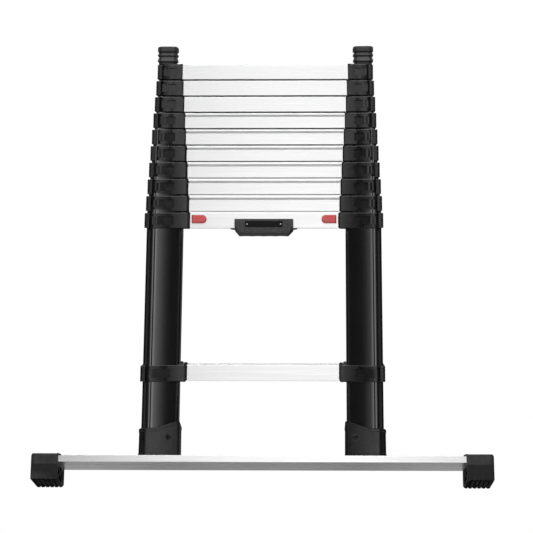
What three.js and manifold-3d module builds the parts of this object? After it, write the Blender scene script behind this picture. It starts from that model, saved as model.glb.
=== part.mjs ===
// Telescoping ladder, closed and standing upright on its stabiliser bar: eleven treads between two
// stacks of nested stile tubes. Millimetres. X runs along the treads, +Y away from the climber and
// +Z up the stiles. The origin is on the ground, midway between the two feet.

import * as THREE from "three";
import { mergeVertices } from "three/addons/utils/BufferGeometryUtils.js";
import Module from "manifold-3d";

const wasm = await Module();
wasm.setup();

// The nest. Level 1 holds the narrowest pair of tubes. Level LEVELS holds the widest, which stand
// on the bar.
const LEVELS = 10;
const OPEN_PITCH = 300;
const CLOSED_PITCH = 34.2;
const LOW_TREAD_Z = 213;
const TREAD_SLOPE = Math.tan(THREE.MathUtils.degToRad(18));
const CLEARANCE = 0.3;
// How far a cutting solid reaches past the face it opens, and past the whole object.
const OVERCUT = 1;
const BEYOND = 60;

// Stile tubes: a rounded trapezium, deepest at its outer side.
const STILE_OUTER = 224.6;
const STILE_INNER = 156.7;
const STILE_HALF_DEPTH = 41;
const STILE_TAPER = 0.249;
const STILE_OUTER_RADIUS = 14;
const STILE_INNER_RADIUS = 10;
const STILE_LEAST_RADIUS = 4;
const STILE_WALL = 1.4;
const STILE_LENGTH = 430;
const NEST_STEP = 2.05;
const LOCK_HOLE_RADIUS = 5.2;
const LOCK_HOLE_SIDES = 10;

// Collars, which close the top of each tube and hold the treads.
const COLLAR_HEIGHT = 33.2;
const COLLAR_COVER = 3.3;
const COLLAR_COVER_STEP = 0.305;
const COLLAR_WAIST = 3;
const COLLAR_END = 142.2;
const COLLAR_END_STEP = 2.27;
const COLLAR_END_HALF_DEPTH = 22;
const COLLAR_END_RADIUS = 1.5;
const COLLAR_SEAT = 12;
const SPIGOT_LENGTH = 10;
const LUG_HEIGHT = 6;
const LUG_LENGTH = 9;
const LUG_HALF_DEPTH = 12;

// Treads: closed aluminium extrusions. Those of the middle levels have a groove along the front.
const TREAD_HALF_DEPTH = 20;
const TREAD_HEIGHT = 31;
const TREAD_RADIUS = 2.5;
const TREAD_WALL = 2.2;
const GROOVED_FROM = 4;
const GROOVE_DROP = 3.8;
const GROOVE_WIDTH = 4.6;
const GROOVE_DEPTH = 1;

// Stabiliser bar and foot brackets.
const BAR_HALF_LENGTH = 418.5;
const BAR_HALF_DEPTH = 42.5;
const BAR_BOTTOM = 33.5;
const BAR_TOP = 46.4;
const BAR_WALL = 2;
const BAR_CELLS = 3;
const BRACKET_OUTER = 229.3;
const BRACKET_INNER = 152.5;
const BRACKET_HALF_DEPTH = 44.5;
const BRACKET_INNER_HALF_DEPTH = 35;
const BRACKET_FLOOR = 52;
const BRACKET_LOW_TOP = 98;
const BRACKET_TOP = 113;
const BRACKET_RISE_START = 200;
const BRACKET_RISE_END = 154;
const BRACKET_SCREW_X = 172.8;
const BRACKET_SCREW_Z = 81.8;
const BRACKET_SCREW_FACE = 36.8;
const BRACKET_OUTER_RADIUS = 15;
const BRACKET_INNER_RADIUS = 7;

// Fasteners.
const SCREW_HEAD_RADIUS = 4.8;
const SCREW_HEAD_HEIGHT = 2.6;
const SCREW_RADIUS = 2.2;
const SCREW_LENGTH = 14;
const SCREW_HOLE_RADIUS = 2.5;
const SCREW_RECESS_RADIUS = 6;
const SCREW_RECESS_DEPTH = 3;
const BAR_BOLT_X = 190;
const BOLT_RADIUS = 3;
const BOLT_HOLE_RADIUS = 3.4;
const BOLT_HEAD_RADIUS = 6;
const BOLT_HEAD_HEIGHT = 4.5;
const NUT_HEIGHT = 5;

// Rubber feet on the ends of the bar.
const FOOT_INNER = 374;
const FOOT_OUTER = 424.3;
const FOOT_HALF_DEPTH = 47.5;
const FOOT_TOP = 49;
const FOOT_CREASE = 29.4;
const FOOT_TOE = 44;
const FOOT_HEEL_RADIUS = 9;
const FOOT_GROOVES = 5;
const FOOT_GROOVE_WIDTH = 3.2;
const FOOT_GROOVE_DEPTH = 2.5;
const FOOT_POCKET_DEPTH = 14;
const FOOT_POCKET_BACK = 22;
const FOOT_RIB = 2.4;

// Top plugs.
const PLUG_OUTER = 211.6;
const PLUG_INNER = 173.1;
const PLUG_HALF_DEPTH = 21;
const PLUG_INNER_HALF_DEPTH = 18.5;
const PLUG_RADIUS = 8;
const PLUG_STEM = 24;

// Release gear in the tenth tread.
const BUTTON_OUTER = 138.7;
const BUTTON_INNER = 110.3;
const BUTTON_HEIGHT = 15.2;
const BUTTON_THICKNESS = 5;
const BUTTON_RISE = 2.5;
const RELEASE_TRAVEL = 8;
const PIN_TIP = 158.2;
const PIN_RADIUS = 4.5;
const PIN_NECK_RADIUS = 3;
const PIN_TAIL_RADIUS = 2.5;
const STEM_OUTER = 131;
const STEM_INNER = 124;
const STEM_HALF_HEIGHT = 4.5;
const STEM_BACK = -12;
const STEM_ROOM = 0.5;
const YOKE_FRONT = -16;
const YOKE_BACK = 6;
const YOKE_BOTTOM = -8;
const YOKE_TOP = 6;
const PIN_FLANGE_RADIUS = 6;
const PIN_FLANGE_THICKNESS = 3;
const PIN_PLAY = 0.8;
const PIN_CHAMFER = 1.5;
const SPRING_SEAT_X = 95;
const SPRING_SEAT_THICKNESS = 5;
const BUSH_RADIUS = 7;
const SPRING_RADIUS = 4.6;
const SPRING_WIRE = 0.7;
const SPRING_TURNS = 6;

// Carry grip under the middle of the tenth tread.
const GRIP_HALF_WIDTH = 56.2;
const GRIP_FOOT_HALF_WIDTH = 47;
const GRIP_WING_HALF_WIDTH = 63;
const GRIP_WING_DEPTH = 4;
const GRIP_WING_HEIGHT = 2.4;
const GRIP_FRONT = -33;
const GRIP_BACK = 8;
const GRIP_TOP = -7.4;
const GRIP_WAIST = -24;
const GRIP_BOTTOM = -37.3;
const LABEL_HALF_WIDTH = 35.5;
const LABEL_HEIGHT = 11.8;
const LABEL_THICKNESS = 1;
const LABEL_LOW = -24;

const FINISHES = {
  anodised: { color: 0x17181a, roughness: 0.35, metalness: 0.6 },
  aluminium: { color: 0xd9dadc, roughness: 0.4, metalness: 0.9 },
  nylon: { color: 0x26272a, roughness: 0.6, metalness: 0 },
  rubber: { color: 0x1b1b1d, roughness: 0.85, metalness: 0 },
  red: { color: 0xd8343a, roughness: 0.45, metalness: 0 },
  steel: { color: 0xa9abb0, roughness: 0.3, metalness: 1 },
  label: { color: 0x101113, roughness: 0.25, metalness: 0 },
};

const ladder = new THREE.Group();
const right = new THREE.Group();
const left = new THREE.Group();
left.scale.x = -1;
ladder.add(right, left);

// Shapes are drawn flat and extruded along +Z; these bases stand them along X or Y instead.
const ALONG_Z = new THREE.Matrix4();
const ALONG_X = new THREE.Matrix4().makeBasis(
  new THREE.Vector3(0, 1, 0),
  new THREE.Vector3(0, 0, 1),
  new THREE.Vector3(1, 0, 0),
);
const ALONG_MINUS_Y = new THREE.Matrix4().makeBasis(
  new THREE.Vector3(1, 0, 0),
  new THREE.Vector3(0, 0, 1),
  new THREE.Vector3(0, -1, 0),
);
const SLOPED = new THREE.Matrix4().makeShear(0, 0, 0, TREAD_SLOPE, 0, 0);

/** A closed geometry as a solid that can be joined and cut. */
function solid(geometry) {
  const bare = geometry.clone();
  bare.deleteAttribute("normal");
  bare.deleteAttribute("uv");
  const merged = mergeVertices(bare, 1e-4);
  return new wasm.Manifold(
    new wasm.Mesh({
      numProp: 3,
      vertProperties: merged.attributes.position.array,
      triVerts: new Uint32Array(merged.index.array),
    }),
  );
}

function geometryOf(body) {
  const { vertProperties, triVerts } = body.getMesh();
  const geometry = new THREE.BufferGeometry();
  geometry.setAttribute("position", new THREE.BufferAttribute(vertProperties, 3));
  geometry.setIndex(new THREE.BufferAttribute(triVerts, 1));
  geometry.computeVertexNormals();
  return geometry;
}

/** An outline extruded from one height to another along a basis, and sloped like the treads if asked. */
function prism(outline, from, to, basis = ALONG_Z, slope = null) {
  const geometry = new THREE.ExtrudeGeometry(new THREE.Shape(outline), {
    depth: to - from,
    bevelEnabled: false,
  });
  geometry.translate(0, 0, from);
  geometry.applyMatrix4(basis);
  if (slope) geometry.applyMatrix4(slope);
  return solid(geometry);
}

function alongX(outline, from, to, slope = null) {
  return prism(outline, from, to, ALONG_X, slope);
}

function alongY(outline, from, to) {
  return prism(outline, -to, -from, ALONG_MINUS_Y);
}

function block(x0, x1, y0, y1, z0, z1) {
  return prism(outlineOf([[x0, y0], [x1, y0], [x1, y1], [x0, y1]]), z0, z1);
}

/** A cylinder about a line parallel to X, through y and z. */
function rodX(radius, from, to, y, z, sides = 12) {
  const geometry = new THREE.CylinderGeometry(radius, radius, to - from, sides);
  geometry.rotateZ(Math.PI / 2);
  geometry.translate((from + to) / 2, y, z);
  return solid(geometry);
}

function rodY(radius, from, to, x, z, sides = 12) {
  const geometry = new THREE.CylinderGeometry(radius, radius, to - from, sides);
  geometry.translate(x, (from + to) / 2, z);
  return solid(geometry);
}

function rodZ(radius, from, to, x, y, sides = 12) {
  const geometry = new THREE.CylinderGeometry(radius, radius, to - from, sides);
  geometry.rotateX(Math.PI / 2);
  geometry.translate(x, y, (from + to) / 2);
  return solid(geometry);
}

function outlineOf(points) {
  return points.map(([x, y]) => new THREE.Vector2(x, y));
}

/** An anticlockwise outline through corners [x, y, radius], each rounded by an arc of a few steps. */
function rounded(corners, steps = 4) {
  const points = [];
  corners.forEach(([x, y, radius], i) => {
    const corner = new THREE.Vector2(x, y);
    if (!radius) {
      points.push(corner);
      return;
    }
    const [beforeX, beforeY] = corners.at(i - 1);
    const [afterX, afterY] = corners[(i + 1) % corners.length];
    const back = new THREE.Vector2(beforeX - x, beforeY - y).normalize();
    const on = new THREE.Vector2(afterX - x, afterY - y).normalize();
    const half = Math.acos(back.dot(on)) / 2;
    const middle = back.clone().add(on).normalize();
    const centre = corner.clone().addScaledVector(middle, radius / Math.sin(half));
    const start = corner.clone().addScaledVector(back, radius / Math.tan(half)).sub(centre).angle();
    const turn = Math.sign(on.cross(back)) * (Math.PI - 2 * half);
    for (let step = 0; step <= steps; step++) {
      const angle = start + (turn * step) / steps;
      points.push(
        new THREE.Vector2(centre.x + radius * Math.cos(angle), centre.y + radius * Math.sin(angle)),
      );
    }
  });
  return points;
}

function addMesh(group, name, body, finish, z = 0) {
  const mesh = new THREE.Mesh(geometryOf(body), new THREE.MeshStandardMaterial(FINISHES[finish]));
  mesh.name = name;
  mesh.position.z = z;
  group.add(mesh);
}

/** The same piece on both sides, mirrored on the left. */
function addPair(name, body, finish, z = 0, level = "") {
  addMesh(right, name + "_right" + level, body, finish, z);
  addMesh(left, name + "_left" + level, body, finish, z);
}

function treadZ(level) {
  return LOW_TREAD_Z + OPEN_PITCH + CLOSED_PITCH * (LEVELS - level);
}

function nestInset(level) {
  return NEST_STEP * (LEVELS - level);
}

function stileHalfDepth(x, inset) {
  const slanted = inset * Math.hypot(1, STILE_TAPER);
  return STILE_HALF_DEPTH - STILE_TAPER * (STILE_OUTER - x) - slanted;
}

/** The widest tube's outline, moved inwards by an inset on every side. */
function stileOutline(inset) {
  const outer = STILE_OUTER - inset;
  const inner = STILE_INNER + inset;
  const outerHalf = stileHalfDepth(outer, inset);
  const innerHalf = stileHalfDepth(inner, inset);
  const outerRadius = Math.max(STILE_OUTER_RADIUS - inset, STILE_LEAST_RADIUS);
  const innerRadius = Math.max(STILE_INNER_RADIUS - inset, STILE_LEAST_RADIUS);
  return rounded([
    [outer, -outerHalf, outerRadius],
    [outer, outerHalf, outerRadius],
    [inner, innerHalf, innerRadius],
    [inner, -innerHalf, innerRadius],
  ]);
}

function collarEnd(level) {
  return COLLAR_END + COLLAR_END_STEP * (LEVELS - level);
}

function collarOutline(level) {
  const inset = nestInset(level);
  const cover = COLLAR_COVER + COLLAR_COVER_STEP * (LEVELS - level);
  const outer = STILE_OUTER - inset;
  const inner = STILE_INNER + inset;
  const bulge = stileHalfDepth(outer, inset) + cover;
  const waist = Math.max(stileHalfDepth(inner, inset) + COLLAR_WAIST, COLLAR_END_HALF_DEPTH);
  const radius = Math.max(STILE_OUTER_RADIUS - inset, STILE_LEAST_RADIUS) + cover;
  const end = collarEnd(level);
  return rounded([
    [outer + cover, -bulge, radius],
    [outer + cover, bulge, radius],
    [inner, waist, 0],
    [end, COLLAR_END_HALF_DEPTH, COLLAR_END_RADIUS],
    [end, -COLLAR_END_HALF_DEPTH, COLLAR_END_RADIUS],
    [inner, -waist, 0],
  ], 5);
}

function treadOutline(inset, grooved = false) {
  const half = TREAD_HALF_DEPTH - inset;
  const top = TREAD_HEIGHT / 2 - inset;
  const radius = Math.max(TREAD_RADIUS - inset, 0.8);
  const groove = grooved
    ? [
        [-half, top - GROOVE_DROP, 0],
        [GROOVE_DEPTH - half, top - GROOVE_DROP, 0],
        [GROOVE_DEPTH - half, top - GROOVE_DROP - GROOVE_WIDTH, 0],
        [-half, top - GROOVE_DROP - GROOVE_WIDTH, 0],
      ]
    : [];
  return rounded([
    [-half, -top, radius],
    [half, -top, radius],
    [half, top, radius],
    [-half, top, radius],
    ...groove,
  ], 2);
}

/** The part of a collar that stands inside the end of its tread. */
function spigot(level) {
  const end = collarEnd(level);
  return alongX(treadOutline(TREAD_WALL + CLEARANCE), end - SPIGOT_LENGTH, end + OVERCUT, SLOPED);
}

function collarBody(level) {
  const half = COLLAR_HEIGHT / 2;
  return prism(collarOutline(level), -half, half, ALONG_Z, SLOPED).add(spigot(level));
}

/** The cutter for a lock hole through a tube's inner face. */
function holeInside(face, z) {
  const wall = STILE_WALL + OVERCUT;
  return rodX(LOCK_HOLE_RADIUS, face - wall, face + wall, 0, z, LOCK_HOLE_SIDES);
}

/** A tube with its collar, which share a node on the sliding levels. */
function slidingStile(level) {
  const inset = nestInset(level);
  const tube = prism(stileOutline(inset), -STILE_LENGTH, 0);
  const bore = prism(stileOutline(inset + STILE_WALL), -STILE_LENGTH - OVERCUT, COLLAR_HEIGHT);
  const lockHole = holeInside(STILE_INNER + inset, -OPEN_PITCH);
  return tube.add(collarBody(level)).subtract(bore).subtract(lockHole);
}

/** A hollow tread from collar to collar. */
function treadBody(level, end) {
  const reach = end - CLEARANCE;
  const grooved = level >= GROOVED_FROM && level < LEVELS;
  const outside = alongX(treadOutline(0, grooved), -reach, reach, SLOPED);
  const hollow = alongX(treadOutline(TREAD_WALL), -reach - OVERCUT, reach + OVERCUT, SLOPED);
  return outside.subtract(hollow);
}

function addSlidingLevel(level) {
  addPair("stile", slidingStile(level), "anodised", treadZ(level), "_" + level);
  addMesh(ladder, "tread_" + level, treadBody(level, collarEnd(level)), "aluminium", treadZ(level));
}

/** The widest tube, from the bracket up into the tenth collar, with its top cut along the slope. */
function addBaseStiles() {
  const top = treadZ(LEVELS);
  const bottom = BRACKET_FLOOR + 1;
  const tube = prism(stileOutline(0), bottom, top + COLLAR_HEIGHT)
    .subtract(prism(stileOutline(STILE_WALL), bottom - OVERCUT, top + COLLAR_HEIGHT + OVERCUT));
  const above = prism(
    outlineOf([
      [STILE_INNER - BEYOND, -BEYOND],
      [STILE_OUTER + BEYOND, -BEYOND],
      [STILE_OUTER + BEYOND, BEYOND],
      [STILE_INNER - BEYOND, BEYOND],
    ]),
    top + COLLAR_SEAT, top + 3 * COLLAR_HEIGHT, ALONG_Z, SLOPED,
  );
  const pinHole = holeInside(STILE_INNER, top);
  addPair("base_stile", tube.subtract(above).subtract(pinHole).subtract(screwHole()), "anodised");
}

/** The collar over the widest tube, which also guides the lock pin. */
function addTopCollars() {
  const half = COLLAR_HEIGHT / 2;
  const socket = prism(
    stileOutline(-CLEARANCE), -half - OVERCUT, COLLAR_SEAT + CLEARANCE, ALONG_Z, SLOPED,
  );
  const passage = prism(stileOutline(STILE_WALL), -COLLAR_HEIGHT, COLLAR_HEIGHT);
  const bushStart = COLLAR_END - SPIGOT_LENGTH - OVERCUT;
  const bushHole = rodX(BUSH_RADIUS + CLEARANCE, bushStart, STILE_INNER + 2 * OVERCUT, 0, 0);
  const collar = collarBody(LEVELS).subtract(socket).subtract(passage).subtract(bushHole);
  addPair("top_collar", collar, "nylon", treadZ(LEVELS));
}

/** The sleeve that holds the lowest tread, with a lug on top against the tube. */
function addLowCollars() {
  const top = COLLAR_HEIGHT / 2;
  const lugOutline = outlineOf([
    [STILE_INNER - LUG_LENGTH, -LUG_HALF_DEPTH],
    [STILE_INNER + OVERCUT, -LUG_HALF_DEPTH],
    [STILE_INNER + OVERCUT, LUG_HALF_DEPTH],
    [STILE_INNER - LUG_LENGTH, LUG_HALF_DEPTH],
  ]);
  const lug = prism(lugOutline, top - OVERCUT, top + LUG_HEIGHT, ALONG_Z, SLOPED);
  const hole = prism(stileOutline(-CLEARANCE), -COLLAR_HEIGHT, COLLAR_HEIGHT);
  addPair("low_collar", collarBody(LEVELS).add(lug).subtract(hole), "nylon", LOW_TREAD_Z);
}

/** The tenth tread has a slot behind each release button. */
function addTopFixedTread() {
  const front = -TREAD_HALF_DEPTH;
  const faceZ = front * TREAD_SLOPE;
  const half = STEM_HALF_HEIGHT + STEM_ROOM;
  let tread = treadBody(LEVELS, COLLAR_END);
  for (const side of [1, -1]) {
    const near = side * (STEM_INNER - RELEASE_TRAVEL - STEM_ROOM);
    const far = side * (STEM_OUTER + STEM_ROOM);
    tread = tread.subtract(block(
      Math.min(near, far), Math.max(near, far),
      front - OVERCUT, front + TREAD_WALL + OVERCUT,
      faceZ - half, faceZ + half,
    ));
  }
  addMesh(ladder, "tread_" + LEVELS, tread, "aluminium", treadZ(LEVELS));
}

function addLowestTread() {
  const level = LEVELS + 1;
  addMesh(ladder, "tread_" + level, treadBody(level, COLLAR_END), "aluminium", LOW_TREAD_Z);
}

/** Ribbed rubber plugs in the open ends of the narrowest tubes. */
function addTopPlugs() {
  const outline = (inset) => rounded([
    [PLUG_OUTER - inset, inset - PLUG_HALF_DEPTH, PLUG_RADIUS],
    [PLUG_OUTER - inset, PLUG_HALF_DEPTH - inset, PLUG_RADIUS],
    [PLUG_INNER + inset, PLUG_INNER_HALF_DEPTH - inset, PLUG_RADIUS],
    [PLUG_INNER + inset, inset - PLUG_INNER_HALF_DEPTH, PLUG_RADIUS],
  ], 3);
  const base = COLLAR_HEIGHT / 2 + CLEARANCE;
  // Each layer: how far it is set in, and the heights of its foot and top above the collar.
  const layers = [[2, 0, 36.5], [0, 0.5, 6], [0, 10.5, 17], [0, 21, 32], [5, 30, 39]];
  const stemOutline = stileOutline(nestInset(1) + STILE_WALL + CLEARANCE);
  let plug = prism(stemOutline, base - PLUG_STEM, base + 5, ALONG_Z, SLOPED);
  for (const [inset, foot, top] of layers) {
    plug = plug.add(prism(outline(inset), base + foot, base + top, ALONG_Z, SLOPED));
  }
  addPair("top_plug", plug, "rubber", treadZ(1));
}

function bracketOutline() {
  return rounded([
    [BRACKET_OUTER, -BRACKET_HALF_DEPTH, BRACKET_OUTER_RADIUS],
    [BRACKET_OUTER, BRACKET_HALF_DEPTH, BRACKET_OUTER_RADIUS],
    [BRACKET_INNER, BRACKET_INNER_HALF_DEPTH, BRACKET_INNER_RADIUS],
    [BRACKET_INNER, -BRACKET_INNER_HALF_DEPTH, BRACKET_INNER_RADIUS],
  ], 5);
}

/** The cutter for the screw hole through a bracket's front wall and the tube behind it. */
function screwHole() {
  return rodY(SCREW_HOLE_RADIUS, -BEYOND, -STILE_HALF_DEPTH / 2, BRACKET_SCREW_X, BRACKET_SCREW_Z, 8);
}

/** Cups that hold the widest tubes on the bar, each higher towards the treads than on its outer side. */
function addBrackets() {
  const socket = prism(stileOutline(-CLEARANCE), BRACKET_FLOOR, BRACKET_TOP + OVERCUT);
  const away = alongY(outlineOf([
    [BRACKET_OUTER + BEYOND, BRACKET_LOW_TOP],
    [BRACKET_OUTER + BEYOND, BRACKET_TOP + BEYOND],
    [BRACKET_RISE_END, BRACKET_TOP + BEYOND],
    [BRACKET_RISE_END, BRACKET_TOP],
    [BRACKET_RISE_START, BRACKET_LOW_TOP],
  ]), -BEYOND, BEYOND);
  const recessFloor = SCREW_RECESS_DEPTH - BRACKET_SCREW_FACE;
  const recess = rodY(SCREW_RECESS_RADIUS, -BEYOND, recessFloor, BRACKET_SCREW_X, BRACKET_SCREW_Z, 16);
  const boltHole = rodZ(BOLT_HOLE_RADIUS, BAR_TOP - OVERCUT, BRACKET_FLOOR + OVERCUT, BAR_BOLT_X, 0, 8);
  const bracket = prism(bracketOutline(), BAR_TOP + CLEARANCE, BRACKET_TOP)
    .subtract(socket).subtract(away).subtract(recess).subtract(screwHole()).subtract(boltHole);
  addPair("foot_bracket", bracket, "nylon");
}

/** A screw through each bracket into the tube, and a bolt and nut that hold each bracket on the bar. */
function addFasteners() {
  const seat = SCREW_RECESS_DEPTH - BRACKET_SCREW_FACE - CLEARANCE;
  const crown = seat - SCREW_HEAD_HEIGHT;
  const onScrew = (radius, from, to, sides) => rodY(
    radius, from, to, BRACKET_SCREW_X, BRACKET_SCREW_Z, sides,
  );
  const screw = onScrew(SCREW_HEAD_RADIUS, crown, seat, 16)
    .add(onScrew(SCREW_RADIUS, seat - OVERCUT, seat + SCREW_LENGTH, 8))
    .subtract(onScrew(SCREW_RADIUS, crown - OVERCUT, (crown + seat) / 2, 6));
  addPair("bracket_screw", screw, "steel");

  const headFoot = BRACKET_FLOOR + CLEARANCE;
  const boltTip = BAR_BOTTOM + BAR_WALL + CLEARANCE;
  const bolt = rodZ(BOLT_HEAD_RADIUS, headFoot, headFoot + BOLT_HEAD_HEIGHT, BAR_BOLT_X, 0, 6)
    .add(rodZ(BOLT_RADIUS, boltTip, headFoot + OVERCUT, BAR_BOLT_X, 0, 8));
  addPair("bar_bolt", bolt, "steel");

  const nutTop = BAR_TOP - BAR_WALL - CLEARANCE;
  const nutFoot = nutTop - NUT_HEIGHT;
  const nut = rodZ(BOLT_HEAD_RADIUS, nutFoot, nutTop, BAR_BOLT_X, 0, 6)
    .subtract(rodZ(BOLT_HOLE_RADIUS, nutFoot - OVERCUT, nutTop + OVERCUT, BAR_BOLT_X, 0, 8));
  addPair("bar_nut", nut, "steel");
}

/** A flat hollow extrusion with cells side by side, open at its ends. */
function addBar() {
  const middle = (BAR_TOP + BAR_BOTTOM) / 2;
  const halfHeight = (BAR_TOP - BAR_BOTTOM) / 2;
  const rectangle = (y0, y1, half, radius) => rounded([
    [y0, middle - half, radius],
    [y1, middle - half, radius],
    [y1, middle + half, radius],
    [y0, middle + half, radius],
  ], 2);
  const outside = rectangle(-BAR_HALF_DEPTH, BAR_HALF_DEPTH, halfHeight, 1.5);
  const cell = (2 * BAR_HALF_DEPTH - BAR_WALL) / BAR_CELLS;
  let bar = alongX(outside, -BAR_HALF_LENGTH, BAR_HALF_LENGTH);
  for (let i = 0; i < BAR_CELLS; i++) {
    const start = -BAR_HALF_DEPTH + BAR_WALL + i * cell;
    const hollow = rectangle(start, start + cell - BAR_WALL, halfHeight - BAR_WALL, 0.5);
    bar = bar.subtract(alongX(hollow, -BAR_HALF_LENGTH - OVERCUT, BAR_HALF_LENGTH + OVERCUT));
  }
  for (const side of [1, -1]) {
    const inside = BAR_TOP - BAR_WALL - OVERCUT;
    bar = bar.subtract(rodZ(BOLT_HOLE_RADIUS, inside, BAR_TOP + OVERCUT, side * BAR_BOLT_X, 0, 8));
  }
  addMesh(ladder, "stabiliser_bar", bar, "aluminium");
}

/** Pockets in the foot's inner side, between two crossed ribs. */
function footPockets() {
  const rib = FOOT_RIB;
  const low = 2 * FOOT_GROOVE_DEPTH;
  const high = BAR_BOTTOM - 1.5 * rib;
  const front = 1.5 * rib - FOOT_TOE;
  const back = FOOT_POCKET_BACK;
  const middleY = (front + back) / 2;
  const middleZ = (low + high) / 2;
  const triangles = [
    [[front + 2 * rib, low], [back - 2 * rib, low], [middleY, middleZ - rib]],
    [[middleY, middleZ + rib], [back - 2 * rib, high], [front + 2 * rib, high]],
    [[front, low + rib], [middleY - 2 * rib, middleZ], [front, high - rib]],
    [[back, high - rib], [middleY + 2 * rib, middleZ], [back, low + rib]],
  ];
  return triangles.map(
    (corners) => alongX(outlineOf(corners), FOOT_INNER - OVERCUT, FOOT_INNER + FOOT_POCKET_DEPTH),
  );
}

function addFeet() {
  const side = rounded([
    [-FOOT_TOE, 0, 4],
    [FOOT_HALF_DEPTH, 0, FOOT_HEEL_RADIUS],
    [FOOT_HALF_DEPTH, FOOT_TOP, 3],
    [-FOOT_HALF_DEPTH, FOOT_TOP, 3],
    [-FOOT_HALF_DEPTH, FOOT_CREASE, 0],
  ], 6);
  const face = rounded([
    [FOOT_INNER, 0, 3],
    [FOOT_OUTER, 0, 9],
    [FOOT_OUTER, FOOT_TOP, 5],
    [FOOT_INNER, FOOT_TOP, 1],
  ], 4);
  const plan = rounded([
    [FOOT_INNER, -FOOT_HALF_DEPTH, 0],
    [FOOT_OUTER, -FOOT_HALF_DEPTH, 7],
    [FOOT_OUTER, FOOT_HALF_DEPTH, 12],
    [FOOT_INNER, FOOT_HALF_DEPTH, 0],
  ], 4);
  const barFit = outlineOf([
    [-BAR_HALF_DEPTH - CLEARANCE, BAR_BOTTOM - CLEARANCE],
    [BAR_HALF_DEPTH + CLEARANCE, BAR_BOTTOM - CLEARANCE],
    [BAR_HALF_DEPTH + CLEARANCE, BAR_TOP + CLEARANCE],
    [-BAR_HALF_DEPTH - CLEARANCE, BAR_TOP + CLEARANCE],
  ]);
  let foot = alongX(side, FOOT_INNER, FOOT_OUTER)
    .intersect(alongY(face, -FOOT_HALF_DEPTH, FOOT_HALF_DEPTH))
    .intersect(prism(plan, 0, FOOT_TOP))
    .subtract(alongX(barFit, FOOT_INNER - OVERCUT, BAR_HALF_LENGTH + CLEARANCE));
  for (const pocket of footPockets()) foot = foot.subtract(pocket);
  const spacing = (FOOT_OUTER - FOOT_INNER) / (FOOT_GROOVES + 1);
  for (let i = 1; i <= FOOT_GROOVES; i++) {
    const x = FOOT_INNER + i * spacing;
    const half = FOOT_GROOVE_WIDTH / 2;
    foot = foot.subtract(block(x - half, x + half, -BEYOND, BEYOND, -OVERCUT, FOOT_GROOVE_DEPTH));
  }
  addPair("foot", foot, "rubber");
}

/** A red slider on the front of the tread. Its stem passes through the slot to the pin's neck. */
function addReleaseButtons() {
  const z = -TREAD_HALF_DEPTH * TREAD_SLOPE;
  const front = -TREAD_HALF_DEPTH - CLEARANCE;
  const half = BUTTON_HEIGHT / 2;
  const capLow = z + BUTTON_RISE - half;
  const capHigh = z + BUTTON_RISE + half;
  const cap = alongY(rounded([
    [BUTTON_INNER, capLow, half - 0.01],
    [BUTTON_OUTER, capLow, 1],
    [BUTTON_OUTER, capHigh, 1],
    [BUTTON_INNER, capHigh, half - 0.01],
  ], 5), front - BUTTON_THICKNESS, front);
  const stem = block(
    STEM_INNER, STEM_OUTER, front - OVERCUT, STEM_BACK, z - STEM_HALF_HEIGHT, z + STEM_HALF_HEIGHT,
  );
  const yoke = block(STEM_INNER, STEM_OUTER, YOKE_FRONT, YOKE_BACK, YOKE_BOTTOM, YOKE_TOP);
  const neck = rodX(PIN_NECK_RADIUS + CLEARANCE, STEM_INNER - OVERCUT, STEM_OUTER + OVERCUT, 0, 0);
  addPair("release_button", cap.add(stem).add(yoke).subtract(neck), "red", treadZ(LEVELS));
}

/** The pin that drops into the next tube's lock hole: tip, neck, flange and tail, turned about X. */
function addLockPins() {
  const neckEnd = STEM_INNER - PIN_PLAY;
  const flangeEnd = neckEnd - PIN_FLANGE_THICKNESS;
  const tailEnd = SPRING_SEAT_X - SPRING_SEAT_THICKNESS;
  const profile = outlineOf([
    [0, tailEnd],
    [PIN_TAIL_RADIUS, tailEnd],
    [PIN_TAIL_RADIUS, flangeEnd],
    [PIN_FLANGE_RADIUS, flangeEnd],
    [PIN_FLANGE_RADIUS, neckEnd],
    [PIN_NECK_RADIUS, neckEnd],
    [PIN_NECK_RADIUS, STEM_OUTER + PIN_PLAY],
    [PIN_RADIUS, STEM_OUTER + PIN_PLAY],
    [PIN_RADIUS, PIN_TIP - PIN_CHAMFER],
    [PIN_RADIUS - PIN_CHAMFER, PIN_TIP],
    [0, PIN_TIP],
  ]);
  const turned = new THREE.LatheGeometry(profile, 12);
  turned.rotateZ(-Math.PI / 2);
  addPair("lock_pin", solid(turned), "steel", treadZ(LEVELS));
}

/** A helix about X. */
class Helix extends THREE.Curve {
  constructor(radius, from, to, turns) {
    super();
    Object.assign(this, { radius, from, to, turns });
  }

  getPoint(t, target = new THREE.Vector3()) {
    const angle = 2 * Math.PI * this.turns * t;
    const x = this.from + (this.to - this.from) * t;
    return target.set(x, this.radius * Math.cos(angle), this.radius * Math.sin(angle));
  }
}

function addLockSprings() {
  const room = SPRING_WIRE + CLEARANCE;
  const from = SPRING_SEAT_X + SPRING_SEAT_THICKNESS + room;
  const to = STEM_INNER - PIN_PLAY - PIN_FLANGE_THICKNESS - room;
  const section = outlineOf([0, 1, 2, 3, 4].map((i) => {
    const angle = (2 * Math.PI * i) / 5;
    return [SPRING_WIRE * Math.cos(angle), SPRING_WIRE * Math.sin(angle)];
  }));
  const coil = new THREE.ExtrudeGeometry(new THREE.Shape(section), {
    steps: SPRING_TURNS * 9,
    extrudePath: new Helix(SPRING_RADIUS, from, to, SPRING_TURNS),
  });
  addPair("lock_spring", solid(coil), "steel", treadZ(LEVELS));
}

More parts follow.
